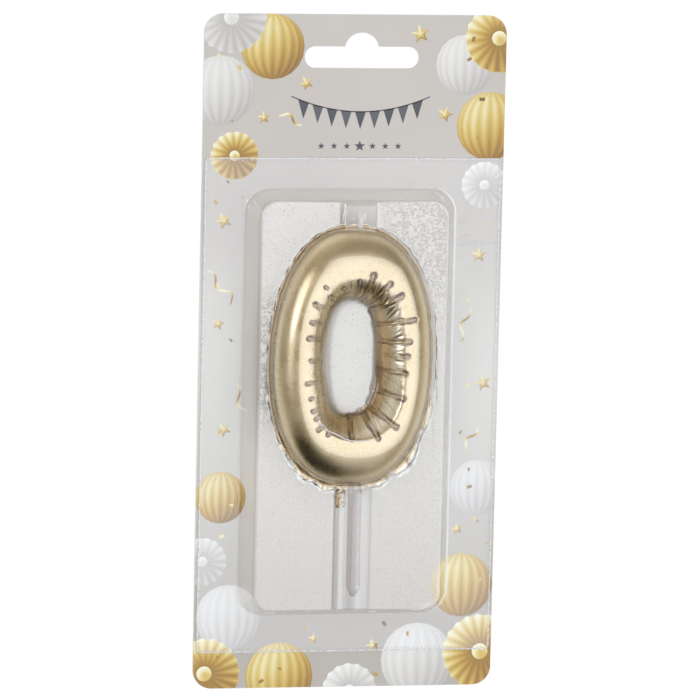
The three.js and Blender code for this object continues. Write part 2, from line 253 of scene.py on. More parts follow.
def pass_lamps(tree, shader):
    """Lets lamplight through to what lies behind, and the light that this scatters out again."""
    path = add_node(tree, "ShaderNodeLightPath").outputs
    passing = add_node(tree, "ShaderNodeMath", {0: path["Is Shadow Ray"], 1: path["Is Diffuse Ray"]},
                       operation="ADD", use_clamp=True)
    open_way = add_node(tree, "ShaderNodeBsdfTransparent", {"Color": linear("#fdfdfd")})
    return add_node(tree, "ShaderNodeMixShader", {0: passing, 1: shader, 2: open_way})


def add_painted_lines(tree, shader):
    """Painted light on clear sheet along its tight curves: the mesh's painted line value draws a painted
    white highlight where it is above zero and a painted dark shade where it is below."""
    bend = add_node(tree, "ShaderNodeAttribute", attribute_name="bend").outputs["Fac"]
    glint = add_node(tree, "ShaderNodeBsdfPrincipled", {
        "Base Color": linear("#ffffff"), "Roughness": 0.2, "Specular IOR Level": 0.8,
    })
    shade = add_node(tree, "ShaderNodeBsdfTransparent", {"Color": linear("#7b7671")})
    for line, full, most in ((glint, 1, 0.8), (shade, -1, 0.9)):
        share = add_node(tree, "ShaderNodeMapRange", {"Value": bend, "From Max": full, "To Max": most})
        shader = add_node(tree, "ShaderNodeMixShader", {0: share, 1: shader, 2: line})
    return shader


def clear_plastic(tree, per_mm, depth, strength, face_on, edge_on, gloss, first, last, clear_to):
    """Clear plastic with a faint ripple. It passes light straight on and mirrors little face on and
    much more at a slant, alike on both sides. Its tint turns from first to last at a slant, from
    clear_to on."""
    place = add_node(tree, "ShaderNodeTexCoord").outputs["Object"]
    ripple = add_node(tree, "ShaderNodeTexNoise", {"Vector": place, "Scale": per_mm / MM})
    normal = add_node(tree, "ShaderNodeBump",
                      {"Height": ripple, "Distance": depth * MM, "Strength": strength})
    slant = add_node(tree, "ShaderNodeLayerWeight", {"Blend": 0.5, "Normal": normal}).outputs["Facing"]
    steep = add_node(tree, "ShaderNodeMath", {0: slant, 1: 4}, operation="POWER")
    mirror = add_node(tree, "ShaderNodeMapRange", {"Value": steep, "To Min": face_on, "To Max": edge_on})
    tinted = add_node(tree, "ShaderNodeMapRange", {"Value": slant, "From Min": clear_to})
    tint = add_node(tree, "ShaderNodeMix", {0: tinted, 6: linear(first), 7: linear(last)},
                    data_type="RGBA").outputs[2]
    clear = add_node(tree, "ShaderNodeBsdfTransparent", {"Color": tint})
    shine = add_node(tree, "ShaderNodeBsdfGlossy",
                     {"Color": linear("#ffffff"), "Roughness": gloss, "Normal": normal})
    return add_node(tree, "ShaderNodeMixShader", {0: mirror, 1: clear, 2: shine})


def clear_pet(tree):
    """Clear PET sheet, thermoformed: glossy, with a slow ripple, hardly greyer where it is seen edge
    on."""
    sheet = clear_plastic(tree, 0.12, 0.12, 0.6, 0.045, 0.26, 0.06, "#fefefe", "#fbfbfb", 0.45)
    return pass_lamps(tree, add_painted_lines(tree, sheet))


def clear_styrene(tree):
    """Clear polystyrene, injection moulded: glassy, with brighter and darker edges."""
    return pass_lamps(tree, clear_plastic(tree, 0.3, 0.05, 0.5, 0.06, 0.6, 0.08, "#ebe5df", "#c2bbb5", 0))


def frosted_pet(tree):
    """The same sheet where it touched the blasted mould: finely pebbled, so that it scatters a white
    haze over what lies behind it, with clear pits, and wrinkled as far as the mesh's grain value says.
    The haze thins towards the pack's foot as painted shade. The mesh's haze value says where the mould
    touched it. The real pebble is too fine to show, so it is drawn coarser."""
    place = add_node(tree, "ShaderNodeTexCoord").outputs["Object"]
    along = add_node(tree, "ShaderNodeSeparateXYZ", {"Vector": place}).outputs["Y"]
    touched, grained = (add_node(tree, "ShaderNodeAttribute", attribute_name=name).outputs["Fac"]
                        for name in ("haze", "grain"))
    pebble = add_node(tree, "ShaderNodeTexNoise",
                      {"Vector": place, "Scale": 2.2 / MM, "Detail": 4, "Roughness": 0.65})
    speck = add_node(tree, "ShaderNodeTexNoise", {"Vector": place, "Scale": 2 / MM, "Detail": 1})
    worm = add_node(tree, "ShaderNodeTexNoise", {
        "Vector": place, "Scale": 0.8 / MM, "Detail": 3, "Roughness": 0.6, "Distortion": 1.6,
    })
    ridge = add_node(tree, "ShaderNodeMapRange",
                     {"Value": worm, "From Min": 0.4, "From Max": 0.5, "To Min": -1, "To Max": 0.08})
    wrinkle = add_node(tree, "ShaderNodeMath", {0: ridge, 1: grained}, operation="MULTIPLY")
    relief = add_node(tree, "ShaderNodeMath", {0: wrinkle, 1: 0.8, 2: pebble}, operation="MULTIPLY_ADD")
    normal = add_node(tree, "ShaderNodeBump", {"Height": relief, "Distance": 0.3 * MM, "Strength": 0.8})
    # Painted shade: the white haze thins towards the pack's foot
    fade = add_node(tree, "ShaderNodeMapRange",
                    {"Value": along, "From Min": -0.06, "From Max": 0.02, "To Min": 0.62})
    haze = add_node(tree, "ShaderNodeMapRange",
                    {"Value": pebble, "From Min": 0.35, "From Max": 0.65, "To Min": 0.74, "To Max": 0.86})
    haze = add_node(tree, "ShaderNodeMath", {0: haze, 1: fade}, operation="MULTIPLY")
    haze = add_node(tree, "ShaderNodeMath", {0: wrinkle, 1: 0.34, 2: haze}, operation="MULTIPLY_ADD")
    pits = add_node(tree, "ShaderNodeMapRange",
                    {"Value": speck, "From Min": 0.69, "From Max": 0.73, "To Min": 1, "To Max": 0.3})
    cloudy = add_node(tree, "ShaderNodeMath", {0: haze, 1: pits}, operation="MULTIPLY")
    share = add_node(tree, "ShaderNodeMath", {0: cloudy, 1: touched}, operation="MULTIPLY", use_clamp=True)
    clear = add_node(tree, "ShaderNodeBsdfTransparent", {"Color": linear("#fcfcfc")})
    milk = add_node(tree, "ShaderNodeBsdfPrincipled", {
        "Base Color": linear("#f4f0e9"), "Roughness": 0.3, "Specular IOR Level": 0.6, "Normal": normal,
    })
    sheet = add_node(tree, "ShaderNodeMixShader", {0: share, 1: clear, 2: milk})
    return pass_lamps(tree, add_painted_lines(tree, sheet))


def sheared_pet(tree):
    """Crazed white: on the sheet's sheared edge, partly the cut's own whitening and partly a painted
    highlight; on the glint marks and seal pips, a painted glint; on the scuffs, their own white.
    """
    place = add_node(tree, "ShaderNodeTexCoord").outputs["Object"]
    crack = add_node(tree, "ShaderNodeTexNoise",
                     {"Vector": place, "Scale": 3 / MM, "Detail": 3, "Roughness": 0.7})
    normal = add_node(tree, "ShaderNodeBump", {"Height": crack, "Distance": 0.05 * MM})
    share = add_node(tree, "ShaderNodeMapRange",
                     {"Value": crack, "From Min": 0.4, "From Max": 0.6, "To Min": 0.4, "To Max": 0.85})
    clear = add_node(tree, "ShaderNodeBsdfTransparent", {"Color": linear("#fafafa")})
    white = add_node(tree, "ShaderNodeBsdfPrincipled",
                     {"Base Color": linear("#fdfdfd"), "Roughness": 0.4, "Normal": normal})
    return add_node(tree, "ShaderNodeMixShader", {0: share, 1: clear, 2: white})


def gold_lacquer(tree):
    """Metallic lacquer on cast wax: champagne gold flake, satin, with a fine grain that roughens it.
    Painted light on it: an amber reflection on the wall that faces the other wall, painted shade in dark
    bronze with less coat in the puckers' creases, the seam's fold and the tail's hollows, and a painted
    pale highlight on the seam's beaded edge and half way down the hole's wall. The real flake is too fine
    to show, so it is drawn coarser."""
    place = add_node(tree, "ShaderNodeTexCoord").outputs["Object"]
    # The fold value paints shade into the creases, with less coat there; the amber value paints an amber
    # reflection and, below zero, a pale highlight
    thin, deep = (add_node(tree, "ShaderNodeAttribute", attribute_name=name).outputs["Fac"]
                  for name in ("fold", "amber"))
    patch = add_node(tree, "ShaderNodeTexNoise",
                     {"Vector": place, "Scale": 0.12 / MM, "Detail": 3, "Roughness": 0.6})
    grain = add_node(tree, "ShaderNodeTexNoise",
                     {"Vector": place, "Scale": 5 / MM, "Detail": 3, "Roughness": 0.7})
    fleck = add_node(tree, "ShaderNodeTexNoise", {"Vector": place, "Scale": 3.5 / MM, "Roughness": 0.8})
    flake = add_node(tree, "ShaderNodeValToRGB", {"Fac": fleck}, [(0.35, "#8a7450"), (0.65, "#fff6e0")])
    pale_highlight = add_node(tree, "ShaderNodeMapRange", {"Value": deep, "From Max": -1})
    tint = add_node(tree, "ShaderNodeValToRGB", {"Fac": patch}, [(0.3, "#bfac85"), (0.7, "#cab995")])
    for share, layer, blend in (
        (0.16, flake, "OVERLAY"), (deep, linear("#deb26a"), "MIX"), (pale_highlight, linear("#fdf6e6"), "MIX"),
        (thin, linear("#70380c"), "MIX"),
    ):
        tint = add_node(tree, "ShaderNodeMix", {0: share, 6: tint, 7: layer},
                        data_type="RGBA", blend_type=blend).outputs[2]
    rough = add_node(tree, "ShaderNodeMapRange",
                     {"Value": patch, "From Min": 0.3, "From Max": 0.75, "To Min": 0.23, "To Max": 0.35})
    coat = add_node(tree, "ShaderNodeMapRange",
                    {"Value": thin, "From Max": 0.9, "To Min": 0.5, "To Max": 0.12})
    normal = add_node(tree, "ShaderNodeBump", {"Height": grain, "Distance": 0.022 * MM, "Strength": 0.7})
    return add_node(tree, "ShaderNodeBsdfPrincipled", {
        "Base Color": tint, "Metallic": 1, "Roughness": rough, "Normal": normal, "Coat Weight": coat,
        "Coat Roughness": 0.2,
    })


def waxed_cotton(tree):
    """Cotton cord dipped in wax: off-white and half clear, with a soft shine over its twist."""
    place = add_node(tree, "ShaderNodeTexCoord").outputs["Object"]
    fibre = add_node(tree, "ShaderNodeTexNoise",
                     {"Vector": place, "Scale": 3 / MM, "Detail": 4, "Roughness": 0.7})
    colour = add_node(tree, "ShaderNodeValToRGB", {"Fac": fibre}, [(0.3, "#d9d5cc"), (0.7, "#f2efe8")])
    normal = add_node(tree, "ShaderNodeBump", {"Height": fibre, "Distance": 0.08 * MM})
    thread = add_node(tree, "ShaderNodeBsdfPrincipled", {
        "Base Color": colour, "Roughness": 0.4, "Subsurface Weight": 0.3, "Subsurface Scale": 0.8 * MM,
        "Normal": normal,
    })
    wax = add_node(tree, "ShaderNodeBsdfTransparent", {"Color": linear("#f4f2ee")})
    share = add_node(tree, "ShaderNodeMapRange",
                     {"Value": fibre, "From Min": 0.3, "From Max": 0.7, "To Min": 0.45, "To Max": 0.85})
    return add_node(tree, "ShaderNodeMixShader", {0: share, 1: wax, 2: thread})


GOLD_TONES = [(0, "#7a5416"), (0.28, "#b98f36"), (0.5, "#d8ba62"), (0.72, "#eee0a6"), (1, "#fbf8e4")]
PEARL_TONES = [(0, "#b5afa8"), (0.5, "#dedad3"), (1, "#f6f4ee")]
SLATE_TONES = [(0, "#45464b"), (1, "#5b5c61")]
board_print = make_material("coated_board_print", coated_board)
board_bare = make_material("bare_board", bare_board)
gold_ink = make_material("gold_offset_ink", offset_ink, GOLD_TONES, 0.4)
pearl_ink = make_material("pearl_offset_ink", offset_ink, PEARL_TONES, 0.4)
slate_ink = make_material("slate_offset_ink", offset_ink, SLATE_TONES, 0.45)
pet_clear = make_material("clear_pet_sheet", clear_pet)
pet_frosted = make_material("frosted_pet_sheet", frosted_pet)
pet_edge_and_glints = make_material("crazed_white_pet_and_glints", sheared_pet)
lacquer = make_material("gold_lacquer_on_wax", gold_lacquer)
cotton = make_material("waxed_cotton", waxed_cotton)
styrene = make_material("clear_polystyrene", clear_styrene)


# Mesh helpers

def make_piece(name, points, faces, materials, smooth=True):
    """A mesh object at the origin from points in millimetres."""
    mesh = bpy.data.meshes.new(name)
    mesh.from_pydata((np.asarray(points, float) * MM).tolist(), [], faces)
    for material in materials:
        mesh.materials.append(material)
    mesh.shade_smooth() if smooth else mesh.shade_flat()
    mesh.update()
    piece = bpy.data.objects.new(name, mesh)
    bpy.context.collection.objects.link(piece)
    return piece


def grid_faces(rows, columns, wrap_rows=False, wrap_columns=False):
    """Quads over a grid of points numbered row by row, joined end to end where it wraps."""
    row = np.arange(rows if wrap_rows else rows - 1)
    column = np.arange(columns if wrap_columns else columns - 1)
    r, c = np.meshgrid(row, column, indexing="ij")
    r2, c2 = (r + 1) % rows, (c + 1) % columns
    quads = np.stack([r * columns + c, r2 * columns + c, r2 * columns + c2, r * columns + c2], -1)
    return quads.reshape(-1, 4).tolist()


def add_tube(points, faces, rings):
    """Joins rings of points one after the other and closes both ends."""
    start, sides = len(points), len(rings[0])
    last = start + (len(rings) - 1) * sides
    points += [point for ring in rings for point in ring]
    faces += [[start + i for i in face] for face in grid_faces(len(rings), sides, wrap_columns=True)]
    faces += [list(range(start, start + sides)), list(range(last, last + sides))[::-1]]


def store_values(mesh, **layers):
    """Keeps one number a point for each named layer, for the materials to read."""
    for name, values in layers.items():
        mesh.attributes.new(name, "FLOAT", "POINT").data.foreach_set("value", values)


def recalculate(piece):
    """Merges doubled points and turns every face outwards."""
    builder = bmesh.new()
    builder.from_mesh(piece.data)
    bmesh.ops.remove_doubles(builder, verts=builder.verts[:], dist=1e-7)
    bmesh.ops.recalc_face_normals(builder, faces=builder.faces[:])
    builder.to_mesh(piece.data)
    builder.free()


def flatten_modifiers(piece):
    """Turns a piece with modifiers into a plain mesh."""
    depsgraph = bpy.context.evaluated_depsgraph_get()
    mesh = bpy.data.meshes.new_from_object(piece.evaluated_get(depsgraph))
    piece.modifiers.clear()
    piece.data = mesh


def finish_piece(piece, body, slot, *replaced):
    """Names a piece's body and hides the nodes of the construction that it replaces. Its slot is not used."""
    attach(piece, body)
    if replaced:
        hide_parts(*replaced)


def smooth_step(value, low, high):
    """0 up to low, 1 from high on, and an even curve between."""
    share = np.clip((value - low) / (high - low), 0, 1)
    return share * share * (3 - 2 * share)


def smooth_max(a, b, blend):
    """The larger of two heights, rounded where they meet."""
    return (a + b + np.sqrt((a - b) ** 2 + blend ** 2)) / 2


def smooth_min(a, b, blend):
    """The smaller of two heights, rounded where they meet."""
    return (a + b - np.sqrt((a - b) ** 2 + blend ** 2)) / 2


def peaks(value, *lines):
    """A sum of peaks, each from its height, its middle and how far from there it falls to 0."""
    return sum(height * np.clip(1 - np.abs(value - middle) / reach, 0, 1) for height, middle, reach in lines)


def waves(turn, *parts):
    """A sum of sines round the nought, each from its number, its height and its phase."""
    return sum(height * np.sin(number * turn + phase) for number, height, phase in parts)


# Card

CARD_CORNER_RADIUS = 5
CARD_EDGE_RADIUS = 0.06
SLOT_WIDTH = 30.2
SLOT_HEIGHT = 5.6
SLOT_DROP = 11.2
SLOT_SIDE_SHIFT = 1.6
NOTCH_RADIUS = 4.6
NOTCH_RISE = 3.65
CORNER_STEPS = 12
SLOT_END_STEPS = 16
NOTCH_STEPS = 24


def arc_points(x, y, radius, start, end, steps):
    """Points of an arc round (x, y), between turns in degrees."""
    turns = np.radians(np.linspace(start, end, steps + 1))
    return [(x + radius * math.cos(t), y + radius * math.sin(t)) for t in turns]


def card_outline(inset):
    """The card's outline, anticlockwise, drawn in by inset."""
    radius = CARD_CORNER_RADIUS - inset
    x = card_high[0] - CARD_CORNER_RADIUS
    y = card_high[1] - CARD_CORNER_RADIUS
    corners = [(x, y, 0), (-x, y, 90), (-x, -y, 180), (x, -y, 270)]
    return [point for cx, cy, turn in corners
            for point in arc_points(cx, cy, radius, turn, turn + 90, CORNER_STEPS)]


def slot_outline(inset):
    """The hang slot's outline, clockwise, widened by inset: a long slot with a domed notch above."""
    x, y = SLOT_SIDE_SHIFT, card_high[1] - SLOT_DROP
    end_radius = SLOT_HEIGHT / 2 + inset
    end_x = SLOT_WIDTH / 2 - SLOT_HEIGHT / 2
    notch_radius = NOTCH_RADIUS + inset
    notch_y = y + SLOT_HEIGHT / 2 + NOTCH_RISE - NOTCH_RADIUS
    notch_start = math.degrees(math.asin((y + end_radius - notch_y) / notch_radius))
    path = arc_points(x - end_x, y, end_radius, 90, 270, SLOT_END_STEPS)
    path += arc_points(x + end_x, y, end_radius, -90, 90, SLOT_END_STEPS)
    path += arc_points(x, notch_y, notch_radius, notch_start, 180 - notch_start, NOTCH_STEPS)
    return path[::-1]


def make_card():
    """A plate with softened edges, printed on its upper face."""
    levels = [(CARD_EDGE_RADIUS, card_low[2]), (0, card_low[2] + CARD_EDGE_RADIUS),
              (0, card_level - CARD_EDGE_RADIUS), (CARD_EDGE_RADIUS, card_level)]
    loops = [(card_outline(inset), slot_outline(inset), z) for inset, z in levels]
    outer_count, slot_count = len(loops[0][0]), len(loops[0][1])
    count = outer_count + slot_count
    points = [(x, y, z) for outer, slot, z in loops for x, y in outer + slot]
    faces = []
    for level in range(len(levels) - 1):
        for start, size in ((0, outer_count), (outer_count, slot_count)):
            for i in range(size):
                a, b = level * count + start + i, level * count + start + (i + 1) % size
                faces.append((a, b, b + count, a + count))
    flat = [[Vector((x, y, 0)) for x, y in loop] for loop in (loops[-1][0], loops[-1][1])]
    cap = [tuple(t) for t in tessellate_polygon(flat)]
    top = (len(levels) - 1) * count
    ax, bx, cx = (Vector(points[top + i][:2]) for i in cap[0])
    upward = (bx - ax).cross(cx - ax) > 0
    for a, b, c in cap:
        face = (a, b, c) if upward else (c, b, a)
        faces.append(tuple(top + i for i in face))
        faces.append(tuple(face[::-1]))
    card = make_piece("printed_card", points, faces, [board_bare, board_print], smooth=False)
    for polygon in card.data.polygons:
        polygon.material_index = int(polygon.normal.z > 0.9)
    finish_piece(card, "card", "printed_card", "card")


make_card()


# Print on the card

INK_LIFT = 0.012
INK_LAYER = 0.012
INK_THICKNESS = 0.01
INK_MARGIN = 0.05
LIGHT_TURN = math.radians(125)


def clip_to_card(motif):
    """Cuts a motif off at the card's rounded outline."""
    outline = card_outline(INK_MARGIN)
    for (ax, ay), (bx, by) in zip(outline, outline[1:] + outline[:1]):
        length = math.hypot(bx - ax, by - ay)
        if length < 1e-6:
            continue
        normal = Vector(((by - ay) / length, (ax - bx) / length, 0))
        point = Vector((ax, ay, 0))
        if all((v.co - point).dot(normal) <= 0 for v in motif.verts):
            continue
        geometry = motif.verts[:] + motif.edges[:] + motif.faces[:]
        bmesh.ops.bisect_plane(motif, geom=geometry, plane_co=point, plane_no=normal, clear_outer=True)
        rim = [e for e in motif.edges if len(e.link_faces) == 1]
        bmesh.ops.holes_fill(motif, edges=rim, sides=0)


class Print:
    """Motifs of one ink, gathered into one thin mesh."""

    def __init__(self, name, material):
        self.name = name
        self.material = material
        self.builder = bmesh.new()
        self.tone = self.builder.verts.layers.float.new("tone")

    def add(self, points, faces, tones, layer):
        """A flat motif, as a thin plate: points are (x, y), faces all turn one way, one tone a point
        from 0 to 1."""
        motif = bmesh.new()
        tone = motif.verts.layers.float.new("tone")
        bottom = card_level + INK_LIFT + layer * INK_LAYER - INK_THICKNESS
        low = [motif.verts.new((x, y, bottom)) for x, y in points]
        high = [motif.verts.new((x, y, bottom + INK_THICKNESS)) for x, y in points]
        for vert, value in zip(low + high, list(tones) * 2):
            vert[tone] = min(max(value, 0), 1)
        edges = {}
        for face in faces:
            motif.faces.new([high[i] for i in face])
            motif.faces.new([low[i] for i in reversed(face)])
            for a, b in zip(face, face[1:] + face[:1]):
                edges[(a, b)] = True
        for a, b in edges:
            if (b, a) not in edges:
                motif.faces.new([low[a], low[b], high[b], high[a]])
        clip_to_card(motif)
        bmesh.ops.recalc_face_normals(motif, faces=motif.faces[:])
        first = {v: self.builder.verts.new(v.co) for v in motif.verts}
        for v, copy in first.items():
            copy[self.tone] = v[tone]
        for face in motif.faces:
            self.builder.faces.new([first[v] for v in face.verts])
        motif.free()

    def finish(self):
        """Turns what was gathered into a piece."""
        for vert in self.builder.verts:
            vert.co *= MM
        mesh = bpy.data.meshes.new(self.name)
        self.builder.to_mesh(mesh)
        self.builder.free()
        mesh.materials.append(self.material)
        piece = bpy.data.objects.new(self.name, mesh)
        bpy.context.collection.objects.link(piece)
        finish_piece(piece, "card", "printed_card")


gold_print = Print("gold_print", gold_ink)
pearl_print = Print("pearl_print", pearl_ink)
slate_print = Print("slate_print", slate_ink)

BALL_PLEATS = 9
BALL_RINGS = 10
COLUMNS_PER_PLEAT = 4
BALL_STRETCH = 1.04


def add_ball(sheet, x, y, radius, layer):
    """A honeycomb paper ball: vertical pleats that close up towards its sides, shaded as a globe."""
    columns = BALL_PLEATS * COLUMNS_PER_PLEAT
    points, tones = [], []
    for ring in range(BALL_RINGS + 1):
        rise = math.sin(math.pi * (ring / BALL_RINGS - 0.5))
        half = math.sqrt(max(1 - rise * rise, 0.0)) + 0.02
        for column in range(columns + 1):
            side = math.sin(math.pi * (column / columns - 0.5)) * half
            pleat = 0.5 + 0.5 * math.cos(2 * math.pi * column / COLUMNS_PER_PLEAT)
            points.append((x + radius * side, y + radius * rise * BALL_STRETCH))
            glow = 0.5 + 0.42 * (side * math.cos(LIGHT_TURN) + rise * math.sin(LIGHT_TURN))
            edge = 1 - (side * side + rise * rise) ** 2 * 0.35
            tones.append((glow * 0.85 + 0.22 * pleat - 0.05) * edge)
    sheet.add(points, grid_faces(BALL_RINGS + 1, columns + 1), tones, layer)


FAN_RINGS = (0.2, 0.22, 0.97, 1)
FAN_SCALLOP = 0.95
FAN_TURN_PER_LAYER = 0.1


def add_fan(sheet, x, y, radius, layer, pleats):
    """A paper fan folded into a full circle: pleats lit on one side, with a round button."""
    sides = pleats * 2
    points, tones = [(x, y)], [0.5]
    for ring, share in enumerate(FAN_RINGS):
        for side in range(sides):
            valley = side % 2 == 1
            turn = FAN_TURN_PER_LAYER * layer + math.pi * side / pleats
            reach = radius * share * (FAN_SCALLOP if valley and share > 0.9 else 1)
            points.append((x + reach * math.cos(turn), y + reach * math.sin(turn)))
            lit = 0.5 + 0.3 * math.cos(turn - LIGHT_TURN)
            fold = lit - 0.16 if valley else lit + 0.22
            tones.append([lit + 0.3, 0.15, fold, fold + 0.1][ring])
    faces = [[0, 1 + s, 1 + (s + 1) % sides] for s in range(sides)]
    faces += [[1 + i for i in face] for face in grid_faces(len(FAN_RINGS), sides, wrap_columns=True)]
    sheet.add(points, faces, tones, layer)


STAR_SIDES = 10
STAR_WAIST = 0.42


def add_star(sheet, x, y, radius, layer, turn=0.0, plain=None):
    """A five-pointed star with a raised fold along each arm, or in one plain tone."""
    points, tones = [(x, y)], [0.75]
    for side in range(STAR_SIDES):
        angle = turn + math.pi / 2 + 2 * math.pi * side / STAR_SIDES
        reach = radius * (STAR_WAIST if side % 2 else 1)
        points.append((x + reach * math.cos(angle), y + reach * math.sin(angle)))
        lit = 0.5 + 0.4 * math.cos(angle - LIGHT_TURN)
        tones.append(lit * 0.6 if side % 2 else lit)
    if plain is not None:
        tones = [plain] * len(points)
    sheet.add(points, [[0, 1 + s, 1 + (s + 1) % STAR_SIDES] for s in range(STAR_SIDES)], tones, layer)


def add_ribbon(sheet, line, width, layer, tone_at):
    """A strip along a line of points, of the width given at each."""
    line = np.asarray(line, float)
    along = np.gradient(line, axis=0)
    along /= np.linalg.norm(along, axis=1, keepdims=True)
    across = np.stack([-along[:, 1], along[:, 0]], -1) * (np.asarray(width) / 2).reshape(-1, 1)
    points = np.concatenate([line - across, line + across]).tolist()
    count = len(line)
    faces = [[i, i + 1, count + i + 1, count + i] for i in range(count - 1)]
    tones = [tone_at(i / (count - 1)) for i in range(count)]
    sheet.add(points, faces, tones * 2, layer)


# Balls and fans as ink, place, radius, layer from the card up, and a fan's pleats, and stars as place,
# radius and turn, all of them of this model's own design
BALLS = [
    (gold_print, -22, 80.5, 8.2, 1), (pearl_print, -35.5, 69, 8.8, 2), (gold_print, 36, 60, 8.6, 1),
    (pearl_print, 29, 76, 7.6, 2), (pearl_print, -31, -70, 8.4, 3), (gold_print, -17, -86, 8.8, 2),
    (gold_print, 31.5, -62, 8.2, 1), (pearl_print, 20, -82, 9.6, 3), (gold_print, -33.5, -38, 6.6, 1),
    (pearl_print, 35, -36, 7.2, 1),
]
FANS = [
    (pearl_print, -33, 88, 9.4, 3, 20), (gold_print, -31.5, 52, 6.4, 3, 16),
    (gold_print, 38, 83, 9.2, 3, 18), (pearl_print, 35, 44.5, 6.2, 2, 16),
    (gold_print, -37, -85, 9.6, 4, 20), (pearl_print, 2, -90, 7.4, 1, 16),
    (gold_print, 37, -80, 10.2, 4, 20), (pearl_print, -38, -55, 6.4, 2, 16),
]
STARS = [
    (17, 84, 2.6, 0.2), (-13, 71, 2.0, 0.5), (24, 63, 2.2, -0.3), (-24, 62, 1.8, 0.1), (-34, 35, 2.4, 0.4),
    (34, 26, 2.2, 0.0), (-35, 8, 1.9, -0.2), (36, -8, 2.3, 0.3), (-33, -20, 2.1, 0.6), (8, -78, 1.9, 0.3),
    (-8, -76, 1.6, -0.1), (30, -47, 1.7, 0.2),
]
for sheet, x, y, radius, layer in BALLS:
    add_ball(sheet, x, y, radius, layer)
for sheet, x, y, radius, layer, pleats in FANS:
    add_fan(sheet, x, y, radius, layer, pleats)
for x, y, radius, turn in STARS:
    add_star(gold_print, x, y, radius, 1, turn)

# Streamers: place, length, waves, height of the waves, turn
STREAMERS = [(-38, 22, 11, 1.6, 1.5, -0.9), (32, 12, 9, 1.4, 1.3, -1.9), (-30, -8, 8, 1.2, 1.2, -1.3),
             (35, -20, 7, 1.3, 1.0, -2.2), (-14, 60, 7, 1.3, 1.1, 2.6)]
STREAMER_POINTS = 36


def add_streamer(sheet, x, y, length, count, size, turn):
    """A sine whose height grows along its length, on a ribbon that narrows to its ends."""
    share = np.linspace(0, 1, STREAMER_POINTS)
    along, off = length * share, size * (0.4 + 0.6 * share) * np.sin(2 * math.pi * count * share)
    c, s = math.cos(turn), math.sin(turn)
    line = np.stack([x + c * along - s * off, y + s * along + c * off], -1)
    width = 0.25 + 0.4 * np.sin(math.pi * share) ** 0.5
    add_ribbon(sheet, line, width, 1, lambda u: 0.55 + 0.35 * math.cos(2 * math.pi * count * u))


for streamer in STREAMERS:
    add_streamer(gold_print, *streamer)

# A string of pennants with a row of stars below it
BUNTING_X = 1.5
BUNTING_Y = 67
BUNTING_HALF = 17
BUNTING_SAG = 3.4
BUNTING_OVERHANG = 1.08
STRING_WIDTH = 0.3
STRING_POINTS = 40
FLAGS = 9
FLAG_GAP = 0.12
FLAG_DROP = 4.6
ROW_DROP = 12.4
ROW_PITCH = 3.4
ROW_HALF_COUNT = 3


def bunting_line(u):
    """The string's point at u from -1 to 1."""
    return BUNTING_X + BUNTING_HALF * u, BUNTING_Y + BUNTING_SAG * (u * u - 1)


string = [bunting_line(u) for u in np.linspace(-BUNTING_OVERHANG, BUNTING_OVERHANG, STRING_POINTS)]
add_ribbon(slate_print, string, np.full(STRING_POINTS, STRING_WIDTH), 1, lambda u: 0.3)
for flag in range(FLAGS):
    left, right = (bunting_line(-1 + 2 * (flag + gap) / FLAGS) for gap in (FLAG_GAP, 1 - FLAG_GAP))
    tip = ((left[0] + right[0]) / 2, (left[1] + right[1]) / 2 - FLAG_DROP)
    slate_print.add([tip, right, left], [[0, 1, 2]], [0.15 + 0.7 * (flag % 2)] * 3, 1)
for spot in range(-ROW_HALF_COUNT, ROW_HALF_COUNT + 1):
    add_star(slate_print, BUNTING_X + ROW_PITCH * spot, BUNTING_Y - ROW_DROP, 0.95 if spot else 1.5, 1,
             plain=0.2)

for sheet in (gold_print, pearl_print, slate_print):
    sheet.finish()


# Candle

CREASE_WIDTH = 27.6
CREASE_HEIGHT = 44.4
CREASE_FULLNESS = 2.7
CREASE_BLEND = 0.9
WALL_STEEPNESS = 1.16
WALL_FULLNESS = 1.55
CRISP_TURN = math.radians(285)
CRISP_EDGE = 0.2
CRISP_CORE = 0.8
LIP_WIDTH = 0.35
LIP_HALF_THICKNESS = 0.18
LIP_EDGE_HALF_THICKNESS = 0.108
DOME_FOOT_RISE = 0.32
RIPPLE_DEPTH = 0.085

# Painted light on the lacquer: painted shade in the seam's fold, a painted pale highlight on its beaded edge,
# and down the hole's wall a painted amber reflection and a band of painted pale highlight
SEAM_FOLD_SHADE = 0.5
RIM_HIGHLIGHT = 0.85
AMBER = 0.75
AMBER_TURN = math.radians(-15)
PALE_BAND = (-0.65, 0.38, 0.34)

# The seam's cross-section from its underside round a beaded edge: share of its reach, and height
RIM_PROFILE = [(0.5, -0.22), (1.0, -0.12), (1.0, 0.12), (0.94, 0.36), (0.82, 0.46), (0.68, 0.34), (0.5, 0.2),
               (0.25, 0.22)]
RIM_LIFT = 0.7

# Scallops of the seam's edge, as the turn in degrees where each begins and how far it stands out
SCALLOPS = [
    (0, 0.8), (11, 0.7), (20, 0.8), (33, 0.8), (44, 0.9), (55, 0.8), (66, 0.9), (76, 1.2), (85, 1.0),
    (93, 1.2), (102, 1.1), (113, 1.3), (126, 1.4), (141, 1.3), (158, 0.9), (176, 0.5), (192, 0.6),
    (205, 1.5), (226, 2.2), (245, 2.3), (260, 1.3), (272, 1.5), (284, 2.0), (303, 3.0), (327, 2.0),
    (345, 0.8), (360, 0.8),
]
SEAM_PINCH = 0.3
SCALLOP_ROUNDNESS = 0.6

# Waves round the nought, as number, height and phase. The seam's are calmer on its left
RIPPLE_WAVES = [(37, 1, 0), (59, 0.7, 1), (97, 0.5, 2)]
SEAM_WAVES = [(23, 0.26, 0), (41, 0.2, 1), (67, 0.13, 2), (113, 0.08, 0.5)]
CALM_TURN = math.radians(160)
CALM_SPREAD = math.radians(48)
